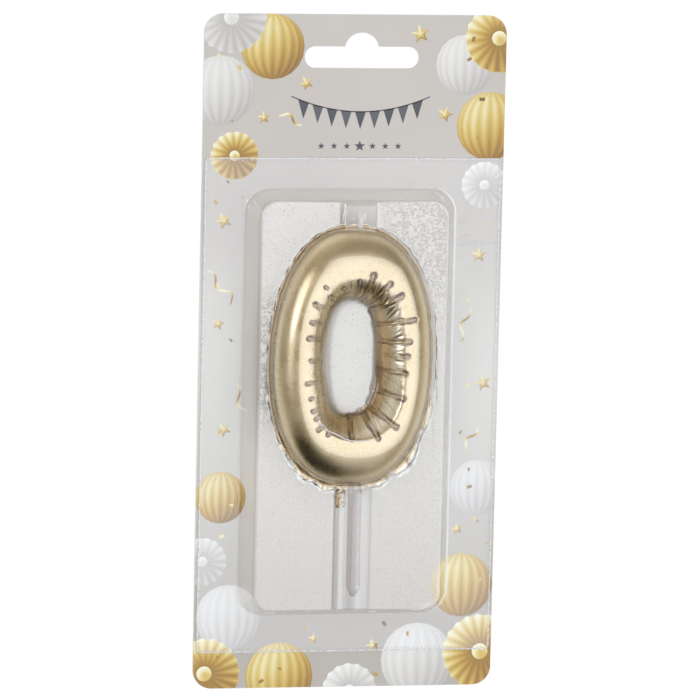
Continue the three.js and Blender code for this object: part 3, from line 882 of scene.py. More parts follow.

# Each pucker as the picture shows it: the pixel of its rounded head, read off the picture, then the
# share of the way to the hole that it runs, and its half width in millimetres
PUCKER_LEVEL = 15
PUCKERS_IN_PICTURE = [
    (359.5, 281.5, 0.8, 0.6), (372.5, 275, 1, 0.75), (389.5, 283.5, 1, 0.75), (401, 295.5, 1, 0.75),
    (414.5, 319, 1, 0.65), (409.5, 341.5, 1, 0.7), (407, 356, 0.8, 0.6), (405, 373, 1, 0.6),
    (402.5, 398.5, 1, 0.65), (395.5, 426.5, 1, 0.7), (377.5, 438, 1, 0.7), (351, 438, 0.9, 0.6),
    (343.5, 288.5, 0.3, 0.5), (324.5, 286.5, 0.2, 0.45), (330.5, 297.5, 0.4, 0.6), (314.5, 304.5, 0.5, 0.65),
    (311, 322, 0.6, 0.55), (308, 338, 0.65, 0.6), (310, 360.5, 0.5, 0.5), (306, 383, 0.5, 0.5),
    (310, 398.5, 0.25, 0.45), (312, 411, 0.35, 0.5), (315, 418.5, 0.4, 0.5), (317.5, 429.5, 0.35, 0.6),
    (327, 434, 0.35, 0.6),
]
PUCKER_DEPTH = 0.85
PUCKER_LINE = 0.74
PUCKER_LINE_SPREAD = 0.34
PUCKER_CREST = 0.42
PUCKER_CREST_SPREAD = 0.4
HOLE_SAMPLES = 721

# Rows of the ring's grid: turns over the dome from the seam, and shares of the way down the hole's wall
dome_start = math.asin(DOME_FOOT_RISE / crest_rise)
front_climbs = np.concatenate([np.linspace(dome_start, 1.19, 18), np.linspace(1.22, math.pi / 2, 22)])
front_wall = np.concatenate([np.linspace(0.02, 0.26, 14), np.linspace(0.28, 0.97, 34)])
back_wall = np.linspace(0.97, 0.05, 6)
back_climbs = np.linspace(math.pi / 2, dome_start, 8)
CANDLE_COLUMNS = 840


def oval(width, height, fullness, angle, rise=0.0):
    """Points of a rounded oval on rays at the given angles."""
    across = (np.abs(np.cos(angle)) / (width / 2)) ** fullness
    along = (np.abs(np.sin(angle)) / (height / 2)) ** fullness
    reach = (across + along) ** (-1 / fullness)
    return np.stack([reach * np.cos(angle), reach * np.sin(angle) + rise], -1)


def ring_lines(turn, grow=0.0):
    """Outline, crease and hole points of the ring's cross-sections, swollen by grow. The rays that cut
    the ring are evenly spread round an oval of its mean shape."""
    angle = np.arctan2((CANDLE_HEIGHT + HOLE_HEIGHT) * np.sin(turn),
                       (CANDLE_WIDTH + HOLE_WIDTH) * np.cos(turn))
    ray = np.stack([np.cos(angle), np.sin(angle)], -1)
    dent = DOME_DENT * np.maximum(np.cos(turn - DOME_DENT_TURN), 0) ** DOME_DENT_NARROWNESS
    outline = oval(DOME_WIDTH + 2 * grow, DOME_HEIGHT + 2 * grow, CANDLE_FULLNESS, angle)
    outline += np.array([DOME_SIDE_SHIFT, 0]) - dent[:, None] * ray
    crease = oval(CREASE_WIDTH, CREASE_HEIGHT, CREASE_FULLNESS, angle, HOLE_RISE)
    hole = oval(HOLE_WIDTH - 2 * grow, HOLE_HEIGHT - 2 * grow, HOLE_FULLNESS, angle, HOLE_RISE)
    return outline, crease, hole


def wall_height(share, rise, turn):
    """The hole's wall from the crease, share 0, down to the seam, share 1: rounded like the outside,
    but towards the foot of the nought a crisp shoulder with a straight slope below it."""
    line = rise * WALL_STEEPNESS * (1 - share)
    start = smooth_min(rise, rise * WALL_STEEPNESS, CREASE_BLEND)
    straight = smooth_min(rise, line, CREASE_BLEND * (1 - share)) * rise / start
    rounded = rise * max(1 - share ** 2, 0) ** (1 / WALL_FULLNESS)
    crisp = smooth_step(np.cos(turn - CRISP_TURN), CRISP_EDGE, CRISP_CORE)
    return rounded + (straight - rounded) * crisp


def scallop_reach(turn):
    """How far the seam's edge stands out: a bulge for each scallop between two pinches."""
    starts, reaches = np.array(SCALLOPS).T
    degrees_round = np.degrees(turn) % 360
    index = np.clip(np.searchsorted(starts, degrees_round, side="right") - 1, 0, len(starts) - 2)
    share = (degrees_round - starts[index]) / (starts[index + 1] - starts[index])
    return SEAM_PINCH + (reaches[index] - SEAM_PINCH) * np.sin(math.pi * share) ** SCALLOP_ROUNDNESS


def pucker_relief(plan):
    """How deep the puckers press into the wall at points of the plan, and how much painted shade darkens
    their creases there. Each is a closed loop of a crease round a raised fold."""
    round_turn = np.linspace(0, 2 * math.pi, HOLE_SAMPLES)
    edge = oval(HOLE_WIDTH, HOLE_HEIGHT, HOLE_FULLNESS, round_turn, HOLE_RISE)
    depth, fold = np.zeros(len(plan)), np.zeros(len(plan))
    for number, (across, down, reach, half_width) in enumerate(PUCKERS_IN_PICTURE):
        head = np.array(at_pixel(across, down, PUCKER_LEVEL)) - (candle_x, candle_y)
        foot = edge[np.argmin(np.linalg.norm(edge - head, axis=1))]
        run = (foot - head) * reach
        share = np.clip((plan - head) @ run / (run @ run), 0, 1)
        to_axis = plan - head - share[:, None] * run
        side = np.sign(to_axis[:, 0] * run[1] - to_axis[:, 1] * run[0])
        waver = 1 + 0.12 * np.sin(9 * share + 2.3 * number + side) + 0.08 * np.sin(23 * share + number)
        away = np.linalg.norm(to_axis, axis=1) / (half_width * waver)
        faded = 1 - (1.35 - 0.8 * reach) * share
        uneven = 0.75 + 0.25 * np.sin(7 * share + 1.9 * number + 1.3 * side)
        crease = np.exp(-((away - PUCKER_LINE) / PUCKER_LINE_SPREAD) ** 2) * faded * uneven
        raised = PUCKER_CREST * np.exp(-(away / PUCKER_CREST_SPREAD) ** 2) * faded
        depth = np.where(away < 1.4, np.maximum(depth, crease) - raised * (away < 0.8), depth)
        fold = np.maximum(fold, crease * np.clip(1.5 - away, 0, 1))
    return depth * PUCKER_DEPTH, np.clip(fold * 2.1 - 0.35, 0, 0.97)


def candle_grid():
    """The ring's skin as a grid: columns round the nought, rows round its cross-section. With it, the
    painted amber reflection and pale highlight on the lacquer, and the painted shade in the seam's fold."""
    turn = np.linspace(0, 2 * math.pi, CANDLE_COLUMNS, endpoint=False)
    outline, crease, hole = ring_lines(turn)
    out = (outline - crease) / np.linalg.norm(outline - crease, axis=1, keepdims=True)
    lip = hole + (hole - crease) / np.linalg.norm(hole - crease, axis=1, keepdims=True) * LIP_WIDTH
    reach = scallop_reach(turn)
    wave = waves(turn, *SEAM_WAVES) * (1 - 0.8 * np.exp(-((turn - CALM_TURN) / CALM_SPREAD) ** 2))
    on_right = smooth_step(np.cos(turn), 0, 0.7)
    ripple = RIPPLE_DEPTH * waves(turn, *RIPPLE_WAVES) * (0.35 + 0.65 * on_right)
    facing_left = smooth_step(np.cos(turn - AMBER_TURN), 0.1, 0.8)
    rows, ambers, fold_shades = [], [], []

    def add_row(plan, height, amber=0, fold=0):
        rows.append(np.column_stack([plan, np.broadcast_to(height, len(turn))]))
        ambers.append(np.broadcast_to(amber, len(turn)))
        fold_shades.append(np.broadcast_to(fold, len(turn)))

    # A painted pale highlight on the bead's top, and painted shade on the seam's underside
    for share, height in RIM_PROFILE:
        add_row(outline + out * (reach * share)[:, None], height + RIM_LIFT * wave * share,
                -RIM_HIGHLIGHT * (height > 0.3), SEAM_FOLD_SHADE * (share < 0.3))
    # Painted shade where the dome meets the seam
    for climb in front_climbs:
        add_row(outline + (crease - outline) * (1 - math.cos(climb)), crest_rise * math.sin(climb),
                fold=SEAM_FOLD_SHADE * (climb == dome_start))
    for share in front_wall:
        height = wall_height(share, crest_rise, turn) + ripple * math.sin(math.pi * share) ** 2
        # A painted amber reflection low on the wall where it faces the other wall, and a band of painted pale
        # highlight half way down
        amber = facing_left * (AMBER * smooth_step(share, 0.55, 0.85) + peaks(share, PALE_BAND))
        add_row(crease + (hole - crease) * share, np.maximum(height, LIP_HALF_THICKNESS), amber)
    for height in (LIP_EDGE_HALF_THICKNESS, -LIP_EDGE_HALF_THICKNESS):
        add_row(lip, height)
    for share in back_wall:
        height = np.maximum(wall_height(share, crest_rise, turn), LIP_HALF_THICKNESS)
        add_row(crease + (hole - crease) * share, -height)
    for climb in back_climbs:
        add_row(outline + (crease - outline) * (1 - math.cos(climb)), -crest_rise * math.sin(climb))
    return np.array(rows), np.concatenate(ambers), np.concatenate(fold_shades)


TAIL_STEPS = 44
TAIL_SIDES = 28
TAIL_SINK = 1.4
TAIL_HALF_THICKNESS = 0.42
NECK_SIDE_SHIFT = 0.85
CRUMPLE = 1.3


def add_tail(points, faces, thin):
    """The balloon's crumpled tail below the nought: a pinched neck that flares at its end."""
    top = candle_y - CANDLE_HEIGHT / 2 + TAIL_SINK
    bottom = wax_low[1] - TAIL_OVERHANG
    rings = []
    for step in range(TAIL_STEPS + 1):
        share = step / TAIL_STEPS
        flare = float(smooth_step(share, 0.3, 0.5))
        half = TAIL_WIDTH / 2 * (0.5 + 0.5 * flare) * (1 + 0.06 * math.sin(30 * share))
        middle = candle_x + TAIL_SIDE_SHIFT + NECK_SIDE_SHIFT * (1 - flare)
        ring = []
        for side in range(TAIL_SIDES):
            cosine, sine = (f(2 * math.pi * side / TAIL_SIDES) for f in (math.cos, math.sin))
            x = half * math.copysign(abs(cosine) ** 0.6, cosine)
            fold = 0.34 * math.sin(3.9 * x + 7 * share) + 0.2 * math.sin(7.6 * x - 15 * share + 1)
            fold += 0.14 * math.sin(34 * share + 2.6 * x) + 0.1 * math.sin(61 * share - 4 * x)
            fold *= CRUMPLE
            z = TAIL_HALF_THICKNESS * math.copysign(abs(sine) ** 0.8, sine) + fold * (0.3 + 0.7 * share)
            ring.append((middle + x, top + (bottom - top) * share, seam_level + z))
            # Painted shade in the hollows of the crumples
            thin.append(min(max(-1.7 * fold + 0.15 * math.sin(50 * share + 5 * x), 0), 0.9))
        rings.append(ring)
    add_tube(points, faces, rings)


def make_candle():
    """The ring with its seam and its puckers, and the tail, as one casting."""
    grid, amber, seam_fold_shade = candle_grid()
    faces = grid_faces(*grid.shape[:2], wrap_rows=True, wrap_columns=True)
    to_next_row = np.roll(grid, -1, axis=0) - np.roll(grid, 1, axis=0)
    to_next_column = np.roll(grid, -1, axis=1) - np.roll(grid, 1, axis=1)
    normal = np.cross(to_next_row, to_next_column)
    normal /= np.linalg.norm(normal, axis=2, keepdims=True) + 1e-9
    flat, normal = grid.reshape(-1, 3), normal.reshape(-1, 3)
    front = flat[:, 2] > 0.3
    # The first point on the crest tells whether the grid's normals point up, and so which way is in
    inward_sign = -np.sign(normal[(flat[:, 2] > crest_rise * 0.99).argmax()][2])
    depth, fold = pucker_relief(flat[:, :2])
    # Painted shade in the puckers' creases and in the seam's fold
    fold = np.maximum(fold * front, seam_fold_shade).tolist()
    flat = flat + normal * (inward_sign * depth * front)[:, None]
    points = (flat + np.array([candle_x, candle_y, seam_level])).tolist()
    add_tail(points, faces, fold)
    amber = amber.tolist() + [0.0] * (len(points) - len(amber))
    candle = make_piece("gold_candle", points, faces, [lacquer])
    store_values(candle.data, fold=fold, amber=amber)
    recalculate(candle)
    finish_piece(candle, "candle", "gold_wax", "candle_body")


make_candle()


# Wick and pick

WICK_SHOWN_LENGTH = 9.5
WICK_STEPS = 80
WICK_SIDES = 30
WICK_NARROWNESS = 0.72
WICK_TIP_LENGTH = 0.9
WICK_TWIST_LENGTH = 2.4
WICK_STRANDS = 3
PIECE_MARGIN = 0.02


def make_wick():
    """A twisted cord that tapers to its trimmed tip."""
    x, z = ((wick_low[axis] + wick_high[axis]) / 2 for axis in (0, 2))
    radius = (wick_high[0] - wick_low[0]) / 2 * WICK_NARROWNESS
    top, bottom = wick_high[1] - 0.05, wick_high[1] - WICK_SHOWN_LENGTH
    rings = []
    for y in np.linspace(bottom, top, WICK_STEPS + 1):
        blunt = 1 - min((top - y) / WICK_TIP_LENGTH, 1)
        taper = min(1.0, math.sqrt(max(1 - blunt ** 2, 0.0)) + 0.02)
        ring = []
        for side in range(WICK_SIDES):
            turn = 2 * math.pi * side / WICK_SIDES
            twist = turn * WICK_STRANDS - 2 * math.pi * y / WICK_TWIST_LENGTH
            reach = radius * taper * (0.9 + 0.1 * math.cos(twist))
            ring.append((x + reach * math.cos(turn), y, z + reach * math.sin(turn)))
        rings.append(ring)
    points, faces = [], []
    add_tube(points, faces, rings)
    wick = make_piece("waxed_wick", points, faces, [cotton])
    recalculate(wick)
    finish_piece(wick, "candle", "wick_cotton", "wick")


PICK_TAPER_LENGTH = 2.6
PICK_TIP_WIDTH = 1.4
PICK_BEVEL_WIDTH = 1.05
PICK_BEVEL_DROP = 0.6
PICK_BACK_CHAMFER = 0.3
PICK_EDGE_RADIUS = 0.09


def make_pick():
    """A flat moulded pick with broad bevels along its front and a short tapered tip."""
    x, z = ((pick_low[axis] + pick_high[axis]) / 2 for axis in (0, 2))
    half = (pick_high[0] - pick_low[0]) / 2 - PIECE_MARGIN
    thick = (pick_high[2] - pick_low[2]) / 2 - PIECE_MARGIN
    tip, top = pick_low[1] + PIECE_MARGIN, pick_high[1] - PIECE_MARGIN
    taper_end = tip + PICK_TAPER_LENGTH
    stations = [(tip, PICK_TIP_WIDTH / 2 - 0.25, 0.5), (tip + 0.25, PICK_TIP_WIDTH / 2, 0.7),
                (taper_end - 0.3, half - 0.08, 0.96), (taper_end + 0.2, half, 1),
                (top - 0.2, half, 1), (top, half - 0.2, 0.85)]
    rings = []
    for y, width, flat in stations:
        bevel = PICK_BEVEL_WIDTH * width / half
        front, edge = thick * flat, (thick - PICK_BEVEL_DROP) * flat
        back = PICK_BACK_CHAMFER - front
        section = [(width, 0.2 - edge), (width, edge), (width - bevel, front), (bevel - width, front),
                   (-width, edge), (-width, 0.2 - edge), (PICK_BACK_CHAMFER - width, back),
                   (width - PICK_BACK_CHAMFER, back)]
        rings.append([(x + side, y, z + rise) for side, rise in section])
    points, faces = [], []
    add_tube(points, faces, rings)
    pick = make_piece("clear_pick", points, faces, [styrene], smooth=False)
    recalculate(pick)
    bevel = pick.modifiers.new("edges", "BEVEL")
    bevel.width = PICK_EDGE_RADIUS * MM
    bevel.segments = 2
    flatten_modifiers(pick)
    pick.data.shade_smooth()
    finish_piece(pick, "candle", "pick_plastic", "pick")


make_wick()
make_pick()


# Blister

FLANGE_LIFT = 0.12
PLATEAU_CORNER_RADIUS = 4.6
CHANNEL_SECTOR = 7
CHANNEL_DRAFT = 0.85
CHANNEL_START = 20
CHANNEL_FULL = 24
WALL_BLEND = 0.9
FLANGE_BLEND = 0.5
FOOT_BLEND = 0.5
FILM_GROW = 0.72
FILM_MARGIN = 0.02
CUT_WIDTH = 0.42
CLEAR, FROSTED, CUT = 0, 1, 2
half_channel = CHANNEL_WIDTH / 2
flange_level = card_level + FLANGE_LIFT + FILM_THICKNESS
cavity_left = film_low[0] + FLANGE_LEFT_BAND
cavity_right = film_high[0] - FLANGE_RIGHT_BAND
cavity_top = film_high[1] - FLANGE_TOP_BAND
cavity_bottom = film_low[1] + FLANGE_BOTTOM_BAND

# The frosted island in the hole
ISLAND_WIDTH = 10.8
ISLAND_HEIGHT = 29.1
ISLAND_SIDE_SHIFT = -0.45
ISLAND_FADE = 0.25
ISLAND_FADE_ON_LEFT = 3.9
ISLAND_SHEEN = 0.18

# The bubble's foot: how far it spreads, and its lines outwards as share of that, haze, and how much of
# the painted dark line of shade and of the painted light line of highlight
FOOT_REACH = 0.72
FOOT_SPREAD = 0.4
FOOT_SPREAD_TURN = math.radians(238)
FOOT_INSIDE_SCALLOPS = 0.45
FOOT_WAVES = [(31, 0.1, 0), (53, 0.08, 1), (97, 0.07, 2)]
FOOT_CLIMB = 0.2
FOOT_DROP = 0.35
FOOT_LINES = [(0.25, 0, 0, 0), (0.5, 0, 0.4, 0), (0.72, 0.1, 1, 0.1), (0.88, 0.6, 0.1, 0.6), (1.0, 0.9, 0, 1)]

# Painted highlight lines, and painted shade lines below zero, as height, middle and reach: along the
# channels' curved sides by the distance from their middle, and along the cavity's wall by the share of
# the way down it
UPPER_CHANNEL_LINES = [(0.9, -4.15, 0.24), (0.9, 4.95, 0.24), (-0.5, 4.4, 0.2)]
LOWER_CHANNEL_LINES = [(0.2, -3.3, 1.0), (-0.22, -4.95, 0.25), (0.25, 4.9, 0.2), (-0.1, -0.8, 1.6)]
WALL_TOP_GLINT = (1, -0.06, 0.1)
WALL_FOOT_GLINT = (1, 1.02, 0.1)
WALL_SHADES = [(-0.2, 0.06, 0.09), (-0.16, 0.88, 0.08)]

# Columns of the shell's grid: across a channel, where they run straight along Y, and down one side of
# the cavity, where they are counted along the top, round a corner, down the side, round the other
# corner and along the bottom
channel_offsets = np.concatenate([
    [-6.4, -5.7], np.linspace(-half_channel - 0.35, -half_channel + 1.15, 12), np.linspace(-3.3, 3.3, 17),
    np.linspace(half_channel - 1.15, half_channel + 0.35, 12), [5.9, 6.4],
])
OUTLINE_SAMPLES = 4001
SIDE_COLUMNS = (22, 14, 110, 14, 22)
side_shares = [(part, (step + 0.5) / count)
               for part, count in enumerate(SIDE_COLUMNS) for step in range(count)]

# Rows of the shell's grid, as shares or as turns over the dome
ISLAND_ROWS = (0.1, 0.4, 0.62, 0.7, 0.76, 0.82, 0.88, 0.94)
DOME_ROWS = np.concatenate([np.linspace(math.pi / 2, 0.5, 10), np.linspace(0.45, FOOT_CLIMB, 4)])
PLATEAU_ROWS = (0.02, 0.06, 0.12, 0.25, 0.45, 0.65, 0.85)
WALL_ROWS = np.concatenate([np.linspace(-0.6, -0.25, 4), np.linspace(-0.18, 0.14, 9),
                            np.linspace(0.25, 0.8, 6), np.linspace(0.86, 1.16, 9)])
FLANGE_ROWS = (0.2, 0.6, 1)


def cavity_outline(low, high, radius):
    """A rounded rectangle with one point for each column, clockwise from the top channel's left."""
    (left, bottom), (right, top) = low, high
    sides = []
    for edge, sign in ((right, 1), (left, -1)):
        start, corner = channel_x + sign * CHANNEL_SECTOR, edge - sign * radius
        path = []
        for part, share in side_shares:
            turn = math.radians(90 * (1 - share) if part == 1 else -90 * share)
            round_x, round_y = corner + sign * radius * math.cos(turn), radius * math.sin(turn)
            path.append([
                (start + (corner - start) * share, top), (round_x, top - radius + round_y),
                (edge, top - radius + (bottom - top + 2 * radius) * share),
                (round_x, bottom + radius + round_y), (corner + (start - corner) * share, bottom),
            ][part])
        sides.append(path)
    upper = [(channel_x + offset, top) for offset in channel_offsets]
    lower = [(channel_x + offset, bottom) for offset in channel_offsets[::-1]]
    return np.array(upper + sides[0] + lower + sides[1][::-1])


def film_outline(inset, radius):
    """The flange's outline, drawn in by inset."""
    return cavity_outline(film_low[:2] + inset, film_high[:2] - inset, radius)


def column_turns():
    """The turn at which each column crosses the candle's outline."""
    dense = np.linspace(0, math.pi, OUTLINE_SAMPLES)
    x = ring_lines(dense, FILM_GROW)[0][:, 0]
    top = np.interp(-channel_offsets - CHANNEL_SIDE_SHIFT, -x, dense)
    ends = np.array([-CHANNEL_SECTOR, CHANNEL_SECTOR]) - CHANNEL_SIDE_SHIFT
    right_end, left_end = np.interp(ends, -x, dense)
    share = (np.arange(len(side_shares)) + 0.5) / len(side_shares)
    right = right_end * (1 - 2 * share)
    left = 2 * math.pi - left_end - 2 * (math.pi - left_end) * share
    return np.concatenate([top, right, -top[::-1], left])


def channel_level(plan):
    """The top of the plateau, raised where the channels run."""
    off = np.abs(plan[:, 0] - channel_x)
    rise = CHANNEL_RISE * smooth_step(half_channel + 0.05 - off, 0, CHANNEL_DRAFT)
    return plateau_level + rise * smooth_step(np.abs(plan[:, 1] - candle_y), CHANNEL_START, CHANNEL_FULL)


def plateau_haze(plan):
    """1 where the flat top is frosted, 0 along the clear channels."""
    off, along = np.abs(plan[:, 0] - channel_x), np.abs(plan[:, 1] - candle_y)
    return 1 - smooth_step(half_channel + 0.25 - off, 0, 0.12) * (along > CHANNEL_START)


def foot_reach(turn):
    """How far the bubble's foot spreads over the seam: round its larger scallops, and uneven where the
    sheet wrinkled."""
    plain = FOOT_REACH + FOOT_SPREAD * np.maximum(np.cos(turn - FOOT_SPREAD_TURN), 0) ** 6
    return np.maximum(plain, scallop_reach(turn) - FOOT_INSIDE_SCALLOPS) + waves(turn, *FOOT_WAVES)


def hole_haze(plan):
    """1 on the frosted island in the hole, ending sharply but for its left, where it fades."""
    off = plan - np.array([candle_x + ISLAND_SIDE_SHIFT, candle_y + HOLE_RISE])
    angle = np.arctan2(off[:, 1], off[:, 0])
    edge = np.linalg.norm(oval(ISLAND_WIDTH, ISLAND_HEIGHT, HOLE_FULLNESS, angle), axis=1)
    on_left = np.clip(-2.2 * np.cos(angle), 0, 1)
    beyond = np.linalg.norm(off, axis=1) - edge - 0.6 * on_left
    return 1 - smooth_step(beyond, 0, ISLAND_FADE + ISLAND_FADE_ON_LEFT * on_left)


def channel_painted_lines(plan):
    """Painted highlight and painted shade lines along the channels' curved sides, and a painted sheen along
    the lower one's right.
    """
    off = plan[:, 0] - channel_x
    sheen = 0.2 * np.clip(1 - (off - 1) / 3.6, 0, 1) * smooth_step(off, 0.7, 1)
    return (peaks(off, *UPPER_CHANNEL_LINES) * (plan[:, 1] > candle_y + CHANNEL_FULL)
            + (peaks(off, *LOWER_CHANNEL_LINES) + sheen) * (plan[:, 1] < candle_y - CHANNEL_FULL))


class Shell:
    """The film's outer face as rows of points, from the island in the hole to the flange's edge, with
    the haze of each point and its painted line value: painted highlight above zero, painted shade below."""

    def __init__(self):
        self.turn = column_turns()
        self.centre = np.array([candle_x, candle_y])
        self.middle = self.centre + np.array([0, HOLE_RISE])
        self.lines = [line + self.centre for line in ring_lines(self.turn, FILM_GROW)]
        self.rise = min(crest_rise + FILM_GROW, film_high[2] - seam_level - FILM_MARGIN)
        self.rows, self.hazes, self.painted_lines = [], [], []
        self.add_hole()
        self.add_dome()
        self.add_foot()
        self.add_plateau_and_wall()

    def add_row(self, plan, z, haze=0, bend=0):
        self.rows.append(np.column_stack([plan, np.broadcast_to(z, len(plan))]))
        self.hazes.append(np.broadcast_to(haze, len(plan)))
        self.painted_lines.append(np.broadcast_to(bend, len(plan)))

    def add_hole(self):
        """The island, and the bubble's wall up from it."""
        _, crease, hole = self.lines
        island_share = 1 - (plateau_level - seam_level) / (self.rise * WALL_STEEPNESS)
        edge = crease + (hole - crease) * min(island_share + 0.12, 1)
        for share in ISLAND_ROWS:
            plan = self.middle + (edge - self.middle) * share
            self.add_row(plan, plateau_level, hole_haze(plan), ISLAND_SHEEN * hole_haze(plan))
        climbs = [np.linspace(min(island_share + 0.1, 1), 0.27, 14), np.linspace(0.22, 0.02, 7)]
        for share in np.concatenate(climbs):
            plan = crease + (hole - crease) * share
            height = seam_level + wall_height(share, self.rise, self.turn)
            self.add_row(plan, smooth_max(height, plateau_level, FOOT_BLEND),
                         hole_haze(plan) * (share > 0.35))

    def add_dome(self):
        """The bubble over the nought's front half."""
        outline, crease, _ = self.lines
        for climb in DOME_ROWS:
            plan = outline + (crease - outline) * (1 - math.cos(climb))
            height = seam_level + self.rise * math.sin(climb)
            self.add_row(plan, smooth_max(height, channel_level(plan), FOOT_BLEND))

    def add_foot(self):
        """The bubble's foot, with its painted highlight line and its painted shade line, crackled on the left
        in light and dark.
        """
        turn = self.turn
        outline, crease, _ = self.lines
        away = (outline - crease) / np.linalg.norm(outline - crease, axis=1, keepdims=True)
        low = self.rows[-1][:, :2]
        low_height = self.rise * math.sin(FOOT_CLIMB) + seam_level
        flare = foot_reach(turn)
        outlined = np.abs(low[:, 0] - channel_x) > half_channel
        on_left = smooth_step(-np.cos(turn), 0.2, 0.8)
        lobed = smooth_step(scallop_reach(turn), 1.2, 1.8)
        broken = 0.3 * np.sin(9 * turn + 1)
        broken += (0.15 + 0.3 * on_left) * np.sin(53 * turn + 2 * np.sin(11 * turn))
        # Painted shade as a broken dark line round the foot, weaker by the larger scallops, and a painted
        # highlight as a light line, both kept off the channels
        dark = np.minimum(-0.3 - broken + 0.2 * lobed, 0) * outlined
        light = (0.44 + 0.1 * lobed + waves(turn, (29, 0.25, 2), (67, 0.2, 0))) * outlined
        for share, haze, dark_part, light_part in FOOT_LINES:
            crackle = np.sin(83 * turn + 40 * share) * np.sin(37 * turn - 25 * share + 1)
            line = dark * dark_part + light * light_part + 0.7 * on_left * crackle * (share > 0.4)
            plan = low + away * (flare * share)[:, None]
            height = low_height + (plateau_level - FOOT_DROP - low_height) * share ** 0.7
            self.add_row(plan, smooth_max(height, channel_level(plan), FOOT_BLEND), haze * outlined, line)

    def add_plateau_and_wall(self):
        """The flat top with its channels, the cavity's wall and the flange."""
        foot = self.rows[-1][:, :2]
        wall_top = cavity_outline((cavity_left + LEFT_DRAFT, cavity_bottom + END_DRAFT),
                                  (cavity_right - SIDE_DRAFT, cavity_top - END_DRAFT), PLATEAU_CORNER_RADIUS)
        wall_foot = cavity_outline((cavity_left, cavity_bottom), (cavity_right, cavity_top),
                                   CAVITY_CORNER_RADIUS)
        wall_start = wall_top + WALL_ROWS[0] * (wall_foot - wall_top)
        for share in PLATEAU_ROWS:
            plan = foot + (wall_start - foot) * share
            self.add_row(plan, channel_level(plan), plateau_haze(plan), channel_painted_lines(plan))
        outwards = (wall_foot - wall_top) / np.linalg.norm(wall_foot - wall_top, axis=1, keepdims=True)
        cornered = np.clip(2.2 * np.abs(outwards[:, 0] * outwards[:, 1]), 0, 1)
        right, above = (smooth_step(outwards[:, axis], 0.6, 1) for axis in (0, 1))
        for share in WALL_ROWS:
            plan = wall_top + (wall_foot - wall_top) * share
            sloped = plateau_level - share * (plateau_level - flange_level)
            level = smooth_min(channel_level(plan), sloped, WALL_BLEND)
            level = smooth_max(level, flange_level, FLANGE_BLEND)
            # Painted highlights at the wall's top and foot, stronger in the corners and on the right, painted
            # shade lines, and a painted lightening over the wall, strongest on its top side
            line = (0.1 + 0.35 * cornered + 0.3 * right) * peaks(share, WALL_TOP_GLINT)
            line += (0.16 + 0.16 * cornered + 0.75 * right) * peaks(share, WALL_FOOT_GLINT)
            line += peaks(share, *WALL_SHADES) + (0.06 + 0.2 * above) * (0.1 < share < 0.9)
            line += channel_painted_lines(plan) * (share < -0.2)
            self.add_row(plan, level, plateau_haze(plan) * (share < -0.16), line)
        last = self.rows[-1][:, :2]
        border = film_outline(CUT_WIDTH, FLANGE_CORNER_RADIUS - CUT_WIDTH)
        for share in FLANGE_ROWS:
            self.add_row(last + (border - last) * share, flange_level)
        self.add_row(film_outline(FILM_MARGIN, FLANGE_CORNER_RADIUS), flange_level)


def make_blister():
    """The thermoformed film, frosted on its flat top and sheared at its edge."""
    shell = Shell()
    columns = len(shell.turn)
    points = np.concatenate(shell.rows).tolist() + [(*shell.middle, plateau_level)]
    haze, bend = np.concatenate(shell.hazes + [[1.0]]), np.concatenate(shell.painted_lines + [[0.0]])
    across, along = np.array(points)[:, 0], np.array(points)[:, 1]
    # The sheet is wrinkled towards its upper right corner, and beside the bubble on its left
    cornered = np.interp(across, [2, 12], [0.12, 1]) * np.interp(along, [0, 25], [0.1, 1])
    beside = smooth_step(candle_x - 19 - across, 0, 2) * (1 - smooth_step(np.abs(along - candle_y), 12, 22))
    faces = grid_faces(len(shell.rows), columns, wrap_columns=True)
    edge_faces = range(len(faces) - columns, len(faces))
    pole = len(points) - 1
    faces += [[pole, (c + 1) % columns, c] for c in range(columns)]
    blister = make_piece("blister_shell", points, faces,
                         [pet_clear, pet_frosted, pet_edge_and_glints, pet_clear, pet_clear])
    store_values(blister.data, haze=haze, bend=bend, grain=np.maximum(cornered, 0.9 * beside))
    for polygon in blister.data.polygons:
        hazy = any(haze[i] > 0.01 for i in polygon.vertices)
        polygon.material_index = CUT if polygon.index in edge_faces else FROSTED if hazy else CLEAR
    recalculate(blister)
    if blister.data.polygons[-1].normal.z < 0:
        blister.data.flip_normals()
    wall = blister.modifiers.new("film", "SOLIDIFY")
    wall.thickness = FILM_THICKNESS * MM
    wall.offset = -1
    wall.material_offset = 3
    wall.material_offset_rim = 0
    flatten_modifiers(blister)
    finish_piece(blister, "blister", "clear_film", "blister")


make_blister()


# Painted glints and highlights, and scuffs, on the sheet as the picture shows them: the pixels along
# each, read off the picture, then the level of the sheet there and the mark's half width, both in
# millimetres

